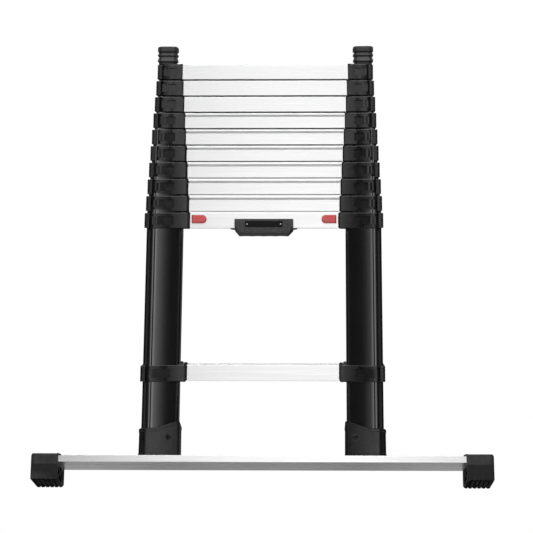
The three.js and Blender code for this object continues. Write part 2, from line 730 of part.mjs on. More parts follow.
/** The block inside the tread that each spring pushes against, and the bush that each pin runs in. */
function addPinSupports() {
  const outline = treadOutline(TREAD_WALL + CLEARANCE);
  const far = SPRING_SEAT_X + SPRING_SEAT_THICKNESS;
  const tailHole = rodX(PIN_TAIL_RADIUS + CLEARANCE, SPRING_SEAT_X - OVERCUT, far + OVERCUT, 0, 0);
  const seat = alongX(outline, SPRING_SEAT_X, far, SLOPED).subtract(tailHole);
  addPair("spring_seat", seat, "nylon", treadZ(LEVELS));

  const from = COLLAR_END - SPIGOT_LENGTH + 1;
  const to = STILE_INNER - 1;
  const bush = rodX(BUSH_RADIUS, from, to, 0, 0)
    .subtract(rodX(PIN_RADIUS + CLEARANCE, from - OVERCUT, to + OVERCUT, 0, 0));
  addPair("pin_bush", bush, "nylon", treadZ(LEVELS));
}

/** The moulded grip round the front and underside of the tenth tread, with a blank label plate. */
function addGrip() {
  const face = -TREAD_HALF_DEPTH;
  const low = (y) => -TREAD_HEIGHT / 2 + y * TREAD_SLOPE - CLEARANCE;
  const section = outlineOf([
    [GRIP_FRONT, GRIP_BOTTOM + 2],
    [GRIP_FRONT + 2, GRIP_BOTTOM],
    [face + 4, GRIP_BOTTOM],
    [GRIP_BACK, low(GRIP_BACK) - 5],
    [GRIP_BACK, low(GRIP_BACK)],
    [face - CLEARANCE, low(face - CLEARANCE)],
    [face - CLEARANCE, GRIP_TOP],
    [GRIP_FRONT, GRIP_TOP],
  ]);
  const outline = outlineOf([
    [-GRIP_FOOT_HALF_WIDTH, GRIP_BOTTOM],
    [GRIP_FOOT_HALF_WIDTH, GRIP_BOTTOM],
    [GRIP_HALF_WIDTH, GRIP_WAIST],
    [GRIP_HALF_WIDTH, GRIP_TOP],
    [-GRIP_HALF_WIDTH, GRIP_TOP],
    [-GRIP_HALF_WIDTH, GRIP_WAIST],
  ]);
  const wings = block(
    -GRIP_WING_HALF_WIDTH, GRIP_WING_HALF_WIDTH,
    face - CLEARANCE - GRIP_WING_DEPTH, face - CLEARANCE,
    GRIP_WAIST, GRIP_WAIST + GRIP_WING_HEIGHT,
  );
  const recess = block(
    -LABEL_HALF_WIDTH - CLEARANCE, LABEL_HALF_WIDTH + CLEARANCE,
    GRIP_FRONT - OVERCUT, GRIP_FRONT + LABEL_THICKNESS,
    LABEL_LOW - CLEARANCE, LABEL_LOW + LABEL_HEIGHT + CLEARANCE,
  );
  const grip = alongX(section, -GRIP_HALF_WIDTH, GRIP_HALF_WIDTH)
    .intersect(alongY(outline, GRIP_FRONT - OVERCUT, GRIP_BACK + OVERCUT))
    .add(wings)
    .subtract(recess);
  addMesh(ladder, "carry_grip", grip, "nylon", treadZ(LEVELS));

  const front = GRIP_FRONT - CLEARANCE;
  const plate = block(
    -LABEL_HALF_WIDTH, LABEL_HALF_WIDTH,
    front, front + LABEL_THICKNESS,
    LABEL_LOW, LABEL_LOW + LABEL_HEIGHT,
  );
  addMesh(ladder, "label_plate", plate, "label", treadZ(LEVELS));
}

for (let level = 1; level < LEVELS; level++) addSlidingLevel(level);
addBaseStiles();
addTopCollars();
addLowCollars();
addTopFixedTread();
addLowestTread();
addTopPlugs();
addBrackets();
addFasteners();
addBar();
addFeet();
addReleaseButtons();
addLockPins();
addLockSprings();
addPinSupports();
addGrip();

export default ladder;
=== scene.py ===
"""The telescoping ladder's visible pieces and their materials, with the studio and the camera.

Shapes are drawn in millimetres in the frame's axes, as the right-hand piece. A left-hand piece is
its mirror image. Meshes are scaled to metres when they are made.
"""

import math

import bpy
from mathutils import Matrix, Vector


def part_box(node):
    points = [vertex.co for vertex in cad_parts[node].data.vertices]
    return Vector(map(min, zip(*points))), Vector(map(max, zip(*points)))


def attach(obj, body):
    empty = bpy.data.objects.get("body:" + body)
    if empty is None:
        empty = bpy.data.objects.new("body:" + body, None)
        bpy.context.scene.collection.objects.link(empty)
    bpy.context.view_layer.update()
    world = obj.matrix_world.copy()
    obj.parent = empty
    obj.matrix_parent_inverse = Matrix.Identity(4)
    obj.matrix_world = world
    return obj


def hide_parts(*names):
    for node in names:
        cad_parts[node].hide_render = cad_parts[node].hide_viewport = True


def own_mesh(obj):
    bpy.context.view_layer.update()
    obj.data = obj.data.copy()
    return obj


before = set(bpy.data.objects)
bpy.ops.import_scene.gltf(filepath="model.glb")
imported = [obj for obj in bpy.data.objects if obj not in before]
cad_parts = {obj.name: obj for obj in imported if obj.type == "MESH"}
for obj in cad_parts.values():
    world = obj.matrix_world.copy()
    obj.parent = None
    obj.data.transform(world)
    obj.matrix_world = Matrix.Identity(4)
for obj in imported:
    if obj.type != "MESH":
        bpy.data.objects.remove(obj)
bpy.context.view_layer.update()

MM = 0.001
LEVELS = 10
SLOPE = math.tan(math.radians(18))
SIDES = {"right": 1, "left": -1}

# Stile tubes: a rounded trapezium, deepest at its outer side, with slightly bowed front and back.
STILE_HALF_DEPTH = 41
STILE_TAPER = 0.249
STILE_OUTER_RADIUS = 14
STILE_INNER_RADIUS = 10
STILE_LEAST_RADIUS = 4
STILE_WALL = 1.4
STILE_LENGTH = 430
STILE_BOW = 1.1
ARC_STEPS = 10
SCORE = 0.9
SCORE_DEPTH = 0.35
NEST_STEP = 2.05
LOCK_HOLE_RADIUS = 5.2
OPEN_PITCH = 300
GAP = 0.3

# Collars.
COLLAR_HEIGHT = 30.7
COLLAR_NECK_HEIGHT = 34
COLLAR_NECK_INSET = 4
COLLAR_COVER = 3.3
COLLAR_COVER_STEP = 0.305
COLLAR_RADIUS = 17.3
COLLAR_LEAST_DEPTH = 24
COLLAR_END_LEAST_DEPTH = 22.5
SWEEP_STEPS = 12
SWEEP_START = 179
SWEEP_DROP = 0.14
SWEEP_POWER = 1.6
COLLAR_SEAT = 12
COLLAR_EDGE = 0.8
PANEL_START = 173
PANEL_HALF_HEIGHT = 8.2
PANEL_DEPTH = 1.5
PANEL_TILT = 0.6
LEAST_PANEL_WALL = 2.5
PANEL_RIDGES = ((2.6, 2.0), (9.3, 1.5))
RIDGE_RISE = 0.4
RIDGE_RADIUS = 0.3
THUMB_BAND = 9.5
THUMB_BAND_RISE = 0.9
THUMB_BAND_RADIUS = 4
THUMB_RIBS = 8
THUMB_RIB_DEPTH = 0.6

# Feet.
FOOT_CREASE = 29.4

# Treads.
TREAD_HALF_DEPTH = 20
TREAD_HEIGHT = 31
TREAD_RADIUS = 2.5
TREAD_WALL = 2.2
TREAD_RIBS = 8
GROOVED_FROM = 4
GROOVE_DROP = 3.8
GROOVE_WIDTH = 4.4
GROOVE_DEPTH = 9.5
BEAD_WIDTH = 2
BEAD_DROP = 0.7
FRONT_BOW = 0.15
FRONT_RADIUS = 0.7


def in_mm(node):
    """The lowest and highest corners of a CAD node, in millimetres."""
    low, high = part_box(node)
    return low / MM, high / MM


stile_low, stile_high = in_mm("base_stile_right")
STILE_INNER = stile_low.x
STILE_OUTER = stile_high.x
COLLAR_END = in_mm("top_collar_right")[0].x + 10
BAR_LOW, BAR_HIGH = in_mm("stabiliser_bar")
BRACKET_LOW, BRACKET_HIGH = in_mm("foot_bracket_right")
FOOT_LOW, FOOT_HIGH = in_mm("foot_right")


def tread_z(level):
    low, high = in_mm(f"tread_{level}")
    return (low.z + high.z) / 2


# ---------------------------------------------------------------------------------------------
# Shapes
# ---------------------------------------------------------------------------------------------


def rounded(corners, steps=8):
    """An anticlockwise outline through corners (x, y, radius), each rounded by an arc."""
    points = []
    for i, (x, y, radius) in enumerate(corners):
        corner = Vector((x, y))
        if not radius:
            points.append(corner)
            continue
        back = (Vector(corners[i - 1][:2]) - corner).normalized()
        on = (Vector(corners[(i + 1) % len(corners)][:2]) - corner).normalized()
        half = back.angle(on) / 2
        centre = corner + (back + on).normalized() * (radius / math.sin(half))
        start = corner + back * (radius / math.tan(half)) - centre
        turn = math.copysign(math.pi - 2 * half, on.cross(back))
        for step in range(steps + 1):
            angle = math.atan2(start.y, start.x) + turn * step / steps
            points.append(centre + radius * Vector((math.cos(angle), math.sin(angle))))
    return points


def bowed(outline, bow, least=12, pieces=10):
    """The outline with each long edge that runs mostly along its first axis bowed outwards."""
    points = []
    for i, point in enumerate(outline):
        after = outline[(i + 1) % len(outline)]
        edge = after - point
        points.append(point)
        if edge.length < least or abs(edge.x) < abs(edge.y):
            continue
        outward = Vector((edge.y, -edge.x)).normalized()
        for step in range(1, pieces):
            share = step / pieces
            points.append(point + edge * share + outward * bow * 4 * share * (1 - share))
    return points


def offset(outline, distance):
    """The outline moved outwards by a small distance, along the normals at its points."""
    moved = []
    for i, point in enumerate(outline):
        along = (outline[(i + 1) % len(outline)] - outline[i - 1]).normalized()
        moved.append(point + Vector((along.y, -along.x)) * distance)
    return moved


def at_angles(outline, centre, count):
    """The outline as a ring of points at even angles about a centre."""
    ring = []
    for i in range(count):
        angle = 2 * math.pi * i / count
        ray = Vector((math.cos(angle), math.sin(angle)))
        best = 0
        for j, point in enumerate(outline):
            a = outline[j - 1] - centre
            edge = point - outline[j - 1]
            across = ray.cross(edge)
            if abs(across) < 1e-9:
                continue
            far = a.cross(edge) / across
            share = a.cross(ray) / across
            if -1e-6 <= share <= 1 + 1e-6 and far > best:
                best = far
        ring.append(centre + ray * best)
    return ring


PLACE = {
    "x": lambda a, b, along: (along, a, b),
    "-y": lambda a, b, along: (a, -along, b),
    "z": lambda a, b, along: (a, b, along),
}


def new_mesh(name, vertices, faces):
    mesh = bpy.data.meshes.new(name)
    mesh.from_pydata([Vector(v) * MM for v in vertices], [], faces)
    mesh.validate()
    mesh.update()
    obj = bpy.data.objects.new(name, mesh)
    bpy.context.scene.collection.objects.link(obj)
    return obj


def loft(name, rings, capped=True):
    """A skin over rings of the same number of points. Uncapped, it joins the last to the first."""
    count = len(rings[0])
    vertices = [point for ring in rings for point in ring]
    faces = []
    bands = len(rings) - 1 if capped else len(rings)
    for band in range(bands):
        low = band * count
        high = (band + 1) % len(rings) * count
        for i in range(count):
            j = (i + 1) % count
            faces.append((low + i, low + j, high + j, high + i))
    if capped:
        faces.append(tuple(range(count - 1, -1, -1)))
        faces.append(tuple((len(rings) - 1) * count + i for i in range(count)))
    return new_mesh(name, vertices, faces)


def prism(outline, start, end, axis="z", slope=0, base=0):
    """An outline extruded between two places on an axis, sheared up along +Y and raised by base."""
    rings = []
    for along in (start, end):
        ring = [PLACE[axis](a, b, along) for a, b in outline]
        rings.append([(x, y, z + y * slope + base) for x, y, z in ring])
    return loft("prism", rings)


def pipe(outside, inside, low, high):
    """An upright tube between two outlines of the same number of points."""
    ring = lambda outline, z: [(x, y, z) for x, y in outline]
    rings = [ring(outside, low), ring(outside, low + 1.5), ring(outside, high - 1.5),
             ring(outside, high), ring(inside, high), ring(inside, low)]
    return loft("pipe", rings, capped=False)


def circle(radius, count=24, centre=(0, 0)):
    return [
        Vector(centre) + radius * Vector((math.cos(a), math.sin(a)))
        for a in (2 * math.pi * i / count for i in range(count))
    ]


def turned(profile, axis, centre, count=32):
    """A solid of revolution: profile is (radius, along) pairs, from one end to the other."""
    rings = []
    for radius, along in profile:
        rings.append([PLACE[axis](a, b, along) for a, b in circle(radius, count)])
    x0, y0, z0 = centre
    rings = [[(x + x0, y + y0, z + z0) for x, y, z in ring] for ring in rings]
    return loft("turned", rings)


def bake(obj):
    """Applies the object's modifiers to its mesh."""
    bpy.context.view_layer.update()
    graph = bpy.context.evaluated_depsgraph_get()
    mesh = bpy.data.meshes.new_from_object(obj.evaluated_get(graph))
    before = obj.data
    obj.modifiers.clear()
    obj.data = mesh
    bpy.data.meshes.remove(before)
    return obj


def combine(obj, operation, tools):
    for tool in tools:
        modifier = obj.modifiers.new("combine", "BOOLEAN")
        modifier.operation = operation
        modifier.solver = "MANIFOLD"
        modifier.object = tool
    bake(obj)
    for tool in tools:
        mesh = tool.data
        bpy.data.objects.remove(tool)
        bpy.data.meshes.remove(mesh)
    return obj


def cut(obj, *tools):
    return combine(obj, "DIFFERENCE", tools)


def join(obj, *tools):
    return combine(obj, "UNION", tools)


def common(obj, *tools):
    return combine(obj, "INTERSECT", tools)


def soften(obj, width, segments=3):
    """Rounds the sharp edges."""
    modifier = obj.modifiers.new("soften", "BEVEL")
    modifier.width = width * MM
    modifier.segments = segments
    modifier.limit_method = "ANGLE"
    modifier.angle_limit = math.radians(40)
    modifier.miter_outer = "MITER_ARC"
    return bake(obj)


def shade(obj, angle=32):
    for polygon in obj.data.polygons:
        polygon.use_smooth = True
    obj.data.set_sharp_from_angle(angle=math.radians(angle))


def smooth_flats(obj):
    """Lets each large face keep its own normal, so that only the small faces beside it look round."""
    modifier = obj.modifiers.new("normals", "WEIGHTED_NORMAL")
    modifier.keep_sharp = True
    modifier.weight = 90
    bake(obj)


def piece(obj, name, look, body, nodes):
    """Gives a finished shape its name, material and body, and hides the nodes it replaces."""
    obj.name = name
    obj.data.name = name
    obj.data.materials.clear()
    obj.data.materials.append(look)
    shade(obj)
    smooth_flats(obj)
    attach(obj, body)
    if nodes:
        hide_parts(*nodes)
    return obj


def mirrored(obj):
    twin = obj.copy()
    twin.data = obj.data.copy()
    twin.data.transform(Matrix.Diagonal((-1, 1, 1, 1)))
    twin.data.flip_normals()
    bpy.context.scene.collection.objects.link(twin)
    return twin


def pair(obj, name, look, body, nodes):
    """The right-hand piece and its mirror image. {} in a name or node stands for the side."""
    for side, shape in (("left", mirrored(obj)), ("right", obj)):
        fill = lambda text: text.replace("{}", side)
        piece(shape, fill(name), look, fill(body), [fill(node) for node in nodes])


# ---------------------------------------------------------------------------------------------
# Materials
# ---------------------------------------------------------------------------------------------


class Look:
    """A Principled material whose colour, roughness and bump come from procedural textures."""

    def __init__(self, name, **sockets):
        self.material = bpy.data.materials.new(name)
        self.material.use_nodes = True
        self.tree = self.material.node_tree
        self.shader = self.tree.nodes["Principled BSDF"]
        for socket, value in sockets.items():
            self.shader.inputs[socket.replace("_", " ")].default_value = value
        self.place = self.tree.nodes.new("ShaderNodeTexCoord").outputs["Object"]
        self.normal = None

    def node(self, kind, settings=None, **inputs):
        node = self.tree.nodes.new("ShaderNode" + kind)
        for key, value in (settings or {}).items():
            setattr(node, key, value)
        for key, value in inputs.items():
            socket = node.inputs[key.replace("_", " ")]
            if isinstance(value, bpy.types.NodeSocket):
                self.tree.links.new(value, socket)
            else:
                socket.default_value = value
        return node

    def noise(self, size, stretch=(1, 1, 1), detail=3):
        """Noise whose features are about size millimetres, longer along an axis stretched by more than 1."""
        scale = [1 / (size * MM * s) for s in stretch]
        place = self.node("Mapping", Vector=self.place, Scale=scale).outputs[0]
        return self.node("TexNoise", Vector=place, Scale=1.0, Detail=detail).outputs[0]

    def wave(self, pitch, axis, distortion=0.0):
        """Even bands across an axis, a pitch in millimetres apart."""
        settings = {"wave_type": "BANDS", "bands_direction": axis, "wave_profile": "SIN"}
        scale = 2 * math.pi / (20 * pitch * MM)
        return self.node(
            "TexWave", settings, Vector=self.place, Scale=scale, Distortion=distortion,
        ).outputs[1]

    def spread(self, value, low, high, start=0.3, end=0.7):
        """A texture value turned into a number between low and high."""
        made = self.node(
            "MapRange", Value=value, From_Min=start, From_Max=end, To_Min=low, To_Max=high,
        )
        return made.outputs[0]

    def mix(self, share, first, second):
        node = self.node("Mix", {"data_type": "RGBA"})
        for index, value in ((0, share), (6, first), (7, second)):
            if isinstance(value, bpy.types.NodeSocket):
                self.tree.links.new(value, node.inputs[index])
            else:
                node.inputs[index].default_value = value
        return node.outputs[2]

    def edge_wear_and_highlight(self, start=0.53, end=0.62):
        """High along convex edges."""
        edge = self.node("NewGeometry").outputs["Pointiness"]
        return self.spread(edge, 0.0, 1.0, start, end)

    def colour(self, socket):
        self.tree.links.new(socket, self.shader.inputs["Base Color"])

    def rough(self, socket):
        self.tree.links.new(socket, self.shader.inputs["Roughness"])

    def bump(self, height, distance, strength=1.0):
        """Adds relief, distance in millimetres from its lowest to its highest point."""
        inputs = {"Height": height, "Distance": distance * MM, "Strength": strength}
        if self.normal:
            inputs["Normal"] = self.normal
        self.normal = self.node("Bump", **inputs).outputs[0]
        self.tree.links.new(self.normal, self.shader.inputs["Normal"])


def grey(value, warmth=0.0):
    return (value * (1 + warmth), value, value * (1 - warmth), 1)


def anodised_look():
    """Black anodised tube: glossy, with faint drawing lines along it and lighter worn edges."""
    look = Look("black_anodised", Metallic=0.0, Specular_IOR_Level=1.0, IOR=1.65)
    lines = look.noise(0.7, (1, 1, 260), 4)
    clouds = look.noise(38, (1, 1, 2.5))
    base = look.mix(look.spread(clouds, 0, 1), grey(0.008, -0.03), grey(0.012, -0.02))
    look.colour(look.mix(look.edge_wear_and_highlight(0.55, 0.66), base, grey(0.04)))
    look.rough(look.spread(lines, 0.13, 0.19))
    look.bump(lines, 0.01)
    return look.material


def nylon_look(name, base, light, roughness, grain, relief, speckle=0.35):
    """Moulded black nylon: fine spark-eroded grain, soft mottling, and convex edges and ridge tops painted
    lighter, partly as rubbed wear and partly as a painted highlight.
    """
    look = Look(name, Metallic=0.0, Specular_IOR_Level=0.6)
    clouds = look.noise(14, detail=4)
    fine = look.noise(grain, detail=2)
    body = look.mix(look.spread(clouds, 0, 1), grey(base), grey(light))
    speckled = look.mix(look.spread(fine, 0, speckle, 0.42, 0.68), body, grey(light * 2.2))
    # Convex edges and ridge tops painted lighter: partly rubbed wear, partly a painted highlight standing in
    # for the lamps' reflection on them.
    look.colour(look.mix(look.edge_wear_and_highlight(0.55, 0.66), speckled, grey(max(light * 3.2, 0.028))))
    look.rough(look.spread(clouds, roughness - 0.05, roughness + 0.06))
    look.bump(fine, relief)
    return look.material


def rubber_look(name, base, lower=None, crease=0):
    """Matt black rubber with a dusty bloom, darker below a crease at a height in millimetres."""
    look = Look(name, Metallic=0.0, Specular_IOR_Level=0.5)
    clouds = look.noise(9, detail=5)
    fine = look.noise(0.6, detail=2)
    body = look.mix(look.spread(clouds, 0, 1, 0.35, 0.7), grey(base), grey(base * 1.9, 0.02))
    if lower:
        height = look.node("SeparateXYZ", Vector=look.place).outputs[2]
        share = look.spread(height, 0, 1, (crease - 0.2) * MM, (crease + 0.2) * MM)
        below = look.mix(look.spread(clouds, 0, 1, 0.35, 0.7), grey(lower), grey(lower * 2.4, 0.02))
        body = look.mix(share, below, body)
    look.colour(look.mix(look.edge_wear_and_highlight(0.55, 0.7), body, grey(base * 3.5, 0.02)))
    look.rough(look.spread(fine, 0.4, 0.5))
    look.bump(fine, 0.05)
    return look.material


def aluminium_look(name, base, roughness):
    """Bare extruded aluminium: die lines along X, faint handling marks and brighter edges."""
    look = Look(name, Metallic=1.0)
    lines = look.noise(0.45, (420, 1, 1), 4)
    streaks = look.noise(3.5, (60, 1, 1), 3)
    clouds = look.noise(45, (3, 1, 1), 4)
    body = look.mix(look.spread(streaks, 0, 1), grey(base * 0.955), grey(base))
    body = look.mix(look.spread(clouds, 0, 0.5, 0.4, 0.8), body, grey(base * 0.93, -0.008))
    look.colour(look.mix(look.edge_wear_and_highlight(0.54, 0.66), body, grey(min(base * 1.08, 0.98))))
    look.rough(look.spread(lines, roughness - 0.04, roughness + 0.06))
    look.bump(lines, 0.01)
    return look.material


def steel_look():
    """Zinc-plated steel with a fine turned finish."""
    look = Look("plated_steel", Metallic=1.0)
    clouds = look.noise(3, detail=4)
    fine = look.noise(0.3, detail=2)
    look.colour(look.mix(look.spread(clouds, 0, 1), grey(0.46, 0.02), grey(0.6)))
    look.rough(look.spread(fine, 0.24, 0.38))
    look.bump(fine, 0.01)
    return look.material


def black_steel_look():
    """Blackened steel, rubbed brighter on its edges."""
    look = Look("blackened_steel", Metallic=1.0)
    clouds = look.noise(2, detail=4)
    fine = look.noise(0.3, detail=2)
    body = look.mix(look.spread(clouds, 0, 1), grey(0.012), grey(0.025))
    look.colour(look.mix(look.edge_wear_and_highlight(), body, grey(0.12)))
    look.rough(look.spread(fine, 0.22, 0.34))
    look.bump(fine, 0.01)
    return look.material


def red_look():
    """Moulded red plastic with a satin grain and a paler rubbed rim."""
    look = Look("red_plastic", Metallic=0.0, Specular_IOR_Level=0.9)
    clouds = look.noise(6, detail=4)
    fine = look.noise(0.7, detail=2)
    body = look.mix(look.spread(clouds, 0, 1), (0.95, 0.095, 0.095, 1), (1.0, 0.12, 0.12, 1))
    look.colour(look.mix(look.edge_wear_and_highlight(0.54, 0.64), body, (1.0, 0.3, 0.28, 1)))
    look.rough(look.spread(fine, 0.36, 0.5))
    look.bump(fine, 0.03)
    return look.material


def pale_nylon_look():
    """Natural nylon, as the hidden guides are moulded."""
    look = Look("natural_nylon", Metallic=0.0, Subsurface_Weight=0.15)
    clouds = look.noise(5, detail=3)
    fine = look.noise(0.5, detail=2)
    look.colour(look.mix(look.spread(clouds, 0, 1), grey(0.62, 0.03), grey(0.72, 0.02)))
    look.rough(look.spread(fine, 0.42, 0.55))
    look.bump(fine, 0.03)
    return look.material


def label_look():
    """A smooth dark plate with a faint satin print grain."""
    look = Look("label_plate", Metallic=0.0, Specular_IOR_Level=0.12)
    clouds = look.noise(8, (3, 1, 1), 3)
    fine = look.noise(0.35, detail=2)
    look.colour(look.mix(look.spread(clouds, 0, 1), grey(0.006), grey(0.011, -0.05)))
    look.rough(look.spread(fine, 0.3, 0.4))
    look.bump(fine, 0.008)
    return look.material


ANODISED = anodised_look()
COLLAR_NYLON = nylon_look("black_nylon", 0.003, 0.007, 0.28, 0.55, 0.02)
GRIP_NYLON = nylon_look("grip_nylon", 0.012, 0.036, 0.5, 2.0, 0.4, 1.0)
TREAD_ALUMINIUM = aluminium_look("tread_aluminium", 0.93, 0.3)
BAR_ALUMINIUM = aluminium_look("bar_aluminium", 0.97, 0.26)
FOOT_RUBBER = rubber_look("foot_rubber", 0.032, 0.004, FOOT_CREASE)
PLUG_RUBBER = rubber_look("plug_rubber", 0.016)
STEEL = steel_look()
BLACK_STEEL = black_steel_look()
RED = red_look()
PALE_NYLON = pale_nylon_look()
LABEL = label_look()

# The CAD nodes that stay as they are, and the finish of each.
KEPT_NODES = {"lock_pin": STEEL, "bar_bolt": STEEL, "bar_nut": STEEL,
              "spring_seat": PALE_NYLON, "pin_bush": PALE_NYLON}
for node_name, look in KEPT_NODES.items():
    for side in SIDES:
        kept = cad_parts[f"{node_name}_{side}"]
        kept.data.materials.clear()
        kept.data.materials.append(look)
        shade(kept)


# ---------------------------------------------------------------------------------------------
# Stile tubes and collars
# ---------------------------------------------------------------------------------------------


def nest_inset(level):
    return NEST_STEP * (LEVELS - level)


def stile_half_depth(x, inset):
    slanted = inset * math.hypot(1, STILE_TAPER)
    return STILE_HALF_DEPTH - STILE_TAPER * (STILE_OUTER - x) - slanted


def stile_outline(inset):
    outer = STILE_OUTER - inset
    inner = STILE_INNER + inset
    outer_half = stile_half_depth(outer, inset)
    inner_half = stile_half_depth(inner, inset)
    outer_radius = max(STILE_OUTER_RADIUS - inset, STILE_LEAST_RADIUS)
    inner_radius = max(STILE_INNER_RADIUS - inset, STILE_LEAST_RADIUS)
    outline = rounded([
        (outer, -outer_half, outer_radius),
        (outer, outer_half, outer_radius),
        (inner, inner_half, inner_radius),
        (inner, -inner_half, inner_radius),
    ], ARC_STEPS)
    back_end = 2 * ARC_STEPS + 1
    front = [outline[0] + Vector((-SCORE, 0)), outline[0] + Vector((0, SCORE_DEPTH)),
             outline[0].lerp(outline[1], 0.3)]
    back = [outline[back_end].lerp(outline[back_end - 1], 0.3),
            outline[back_end] - Vector((0, SCORE_DEPTH)), outline[back_end] + Vector((-SCORE, 0))]
    scored = front + outline[1:back_end] + back + outline[back_end + 1:]
    return bowed(scored, STILE_BOW)


def body_of_level(level):
    return "base" if level >= LEVELS else f"section_{level}"


def nodes_of_level(level):
    return ["base_stile_{}"] if level == LEVELS else [f"stile_{{}}_{level}"]


def stile_tube(level):
    """A drawn tube with its lock hole, from inside its collar downwards."""
    inset = nest_inset(level)
    top = tread_z(level) + COLLAR_SEAT - 2
    low = BRACKET_LOW.z + 6.5 if level == LEVELS else tread_z(level) - STILE_LENGTH
    tube = pipe(stile_outline(inset), stile_outline(inset + STILE_WALL), low, top)
    hole_z = tread_z(level) if level == LEVELS else tread_z(level) - OPEN_PITCH
    face = STILE_INNER + inset
    hole = prism(circle(LOCK_HOLE_RADIUS), face - 5, face + 5, "x", base=hole_z)
    name = "base_tube_{}" if level == LEVELS else f"tube_{{}}_{level}"
    pair(cut(tube, hole), name, ANODISED, body_of_level(level), nodes_of_level(level))


def collar_end(level):
    return COLLAR_END if level >= LEVELS else in_mm(f"tread_{level}")[1].x + GAP


def collar_sizes(level):
    """(outer x, half depth there, where the inner sweep starts, half depth there) of a collar."""
    step = max(LEVELS - level, 0)
    inset = NEST_STEP * step
    cover = COLLAR_COVER + COLLAR_COVER_STEP * step
    outer = STILE_OUTER - inset
    start = max(SWEEP_START, STILE_INNER + inset + 2)
    deep = max(stile_half_depth(start, inset) + cover, COLLAR_LEAST_DEPTH)
    return outer + cover, stile_half_depth(outer, inset) + cover, start, deep


def collar_outline(level):
    """Round over the tube's outer side, drawn in to the end of the tread at the inner side."""
    outer, bulge, start, deep = collar_sizes(level)
    end = collar_end(level)
    end_depth = max(deep - SWEEP_DROP * (start - end), COLLAR_END_LEAST_DEPTH)
    sweep = []
    for i in range(SWEEP_STEPS + 1):
        share = 1 - i / SWEEP_STEPS
        depth = end_depth + (deep - end_depth) * share ** SWEEP_POWER
        sweep.append((end + (start - end) * share, depth))
    front_side = [(x, -depth, 0) for x, depth in reversed(sweep)]
    back_side = [(x, depth, 0) for x, depth in sweep]
    return bowed(rounded([
        (outer, -bulge, COLLAR_RADIUS), (outer, bulge, COLLAR_RADIUS), *back_side, *front_side,
    ], ARC_STEPS), STILE_BOW * 0.6, least=14)


def thumb_band(level):
    """The raised and ribbed band round the collar's outermost side."""
    outer, bulge = collar_sizes(level)[:2]
    half = COLLAR_HEIGHT / 2 - 0.5
    inner = outer - THUMB_BAND
    depth = bulge - THUMB_BAND_RISE
    radius = THUMB_BAND_RADIUS
    outline = rounded([(outer, -depth, radius), (outer, depth, radius),
                       (inner, depth, 0.5), (inner, -depth, 0.5)], ARC_STEPS)
    pitch = 2 * half / THUMB_RIBS
    rows = [(-half, 0.8)]
    for rib in range(THUMB_RIBS):
        middle = pitch * (rib + 0.5) - half
        for share, inset in ((-0.4, 0), (0.2, 0), (0.28, THUMB_RIB_DEPTH), (0.42, THUMB_RIB_DEPTH)):
            rows.append((middle + pitch * share, inset))
    rows.append((half, 0.8))
    base = tread_z(level)
    rings = []
    for z, inset in rows:
        rings.append([(p.x, p.y, z + p.y * SLOPE + base) for p in offset(outline, -inset)])
    return loft("band", rings)


def collar_wall(level):
    """The collar's outside, a solid block on a slightly narrower neck, with its thumb band."""
    outline = offset(collar_outline(level), -THUMB_BAND_RISE)
    base = tread_z(level)
    half, edge = COLLAR_HEIGHT / 2, COLLAR_EDGE
    side = [(half - edge - 1.2, 0), (half - edge, 0), (half - edge * 0.3, edge * 0.3), (half, edge),
            (half, COLLAR_NECK_INSET), (COLLAR_NECK_HEIGHT / 2, COLLAR_NECK_INSET)]
    rows = [(-z, inset) for z, inset in reversed(side)] + side
    rings = []
    for z, inset in rows:
        rings.append([(p.x, p.y, z + p.y * SLOPE + base) for p in offset(outline, -inset)])
    return join(loft("collar", rings), thumb_band(level))


def collar_face(level):
    """The half depth of the collar's flat front at x, as a function."""
    outer, bulge, start, deep = collar_sizes(level)
    slope = (bulge - deep) / (outer - start)
    return lambda x: deep + (x - start) * slope - THUMB_BAND_RISE + STILE_BOW * 0.4


def both_faces(outline, level):
    """An outline on the front of the collar and its copy on the back, raised to blocks."""
    blocks = []
    for side in (-1, 1):
        ring = [Vector((x, y * side)) for x, y in outline]
        ring = ring if side > 0 else ring[::-1]
        blocks.append(prism(ring, -PANEL_HALF_HEIGHT, PANEL_HALF_HEIGHT, slope=SLOPE, base=tread_z(level)))
    return blocks


def panel_end(level):
    step = max(LEVELS - level, 0)
    return STILE_OUTER - NEST_STEP * step - 22 + 0.37 * step


def panel_cutters(level):
    """Cutters for the sunk panel and the groove between its two ridges and the round corner."""
    step = max(LEVELS - level, 0)
    face = collar_face(level)
    start, end = PANEL_START + 0.25 * step, panel_end(level)
    panel = min(PANEL_DEPTH, COLLAR_COVER + COLLAR_COVER_STEP * step - LEAST_PANEL_WALL)
    outline = [(start, face(start) - panel - PANEL_TILT), (end, face(end) - panel),
               (end + 12.2, face(end + 12.2) - panel), (end + 12.2, 60), (start, 60)]
    return both_faces(outline, level)


def panel_ridges(level):
    """Two upright flat-topped ridges beside the sunk panel."""
    face = collar_face(level)
    ridges = []
    for middle, half in PANEL_RIDGES:
        x = panel_end(level) + middle
        root, top = face(x) - 3, min(face(x + half) + RIDGE_RISE, collar_sizes(level)[1] - 0.3)
        outline = rounded([(x - half, root, 0), (x + half, root, 0),
                           (x + half, top, RIDGE_RADIUS), (x - half, top, RIDGE_RADIUS)], 3)
        ridges += both_faces(outline, level)
    return ridges


def sliding_collar(level):
    """Fixed on the top of its own tube, with a passage for the next narrower one."""
    inset = nest_inset(level)
    base = tread_z(level)
    seat = prism(stile_outline(inset - 0.05), base - 40, base + COLLAR_SEAT, slope=0)
    passage = prism(stile_outline(inset + STILE_WALL), base - 40, base + 60)
    collar = join(cut(collar_wall(level), seat, passage, *panel_cutters(level)), *panel_ridges(level))
    nodes = nodes_of_level(level)
    pair(collar, f"collar_{{}}_{level}", COLLAR_NYLON, body_of_level(level), nodes)


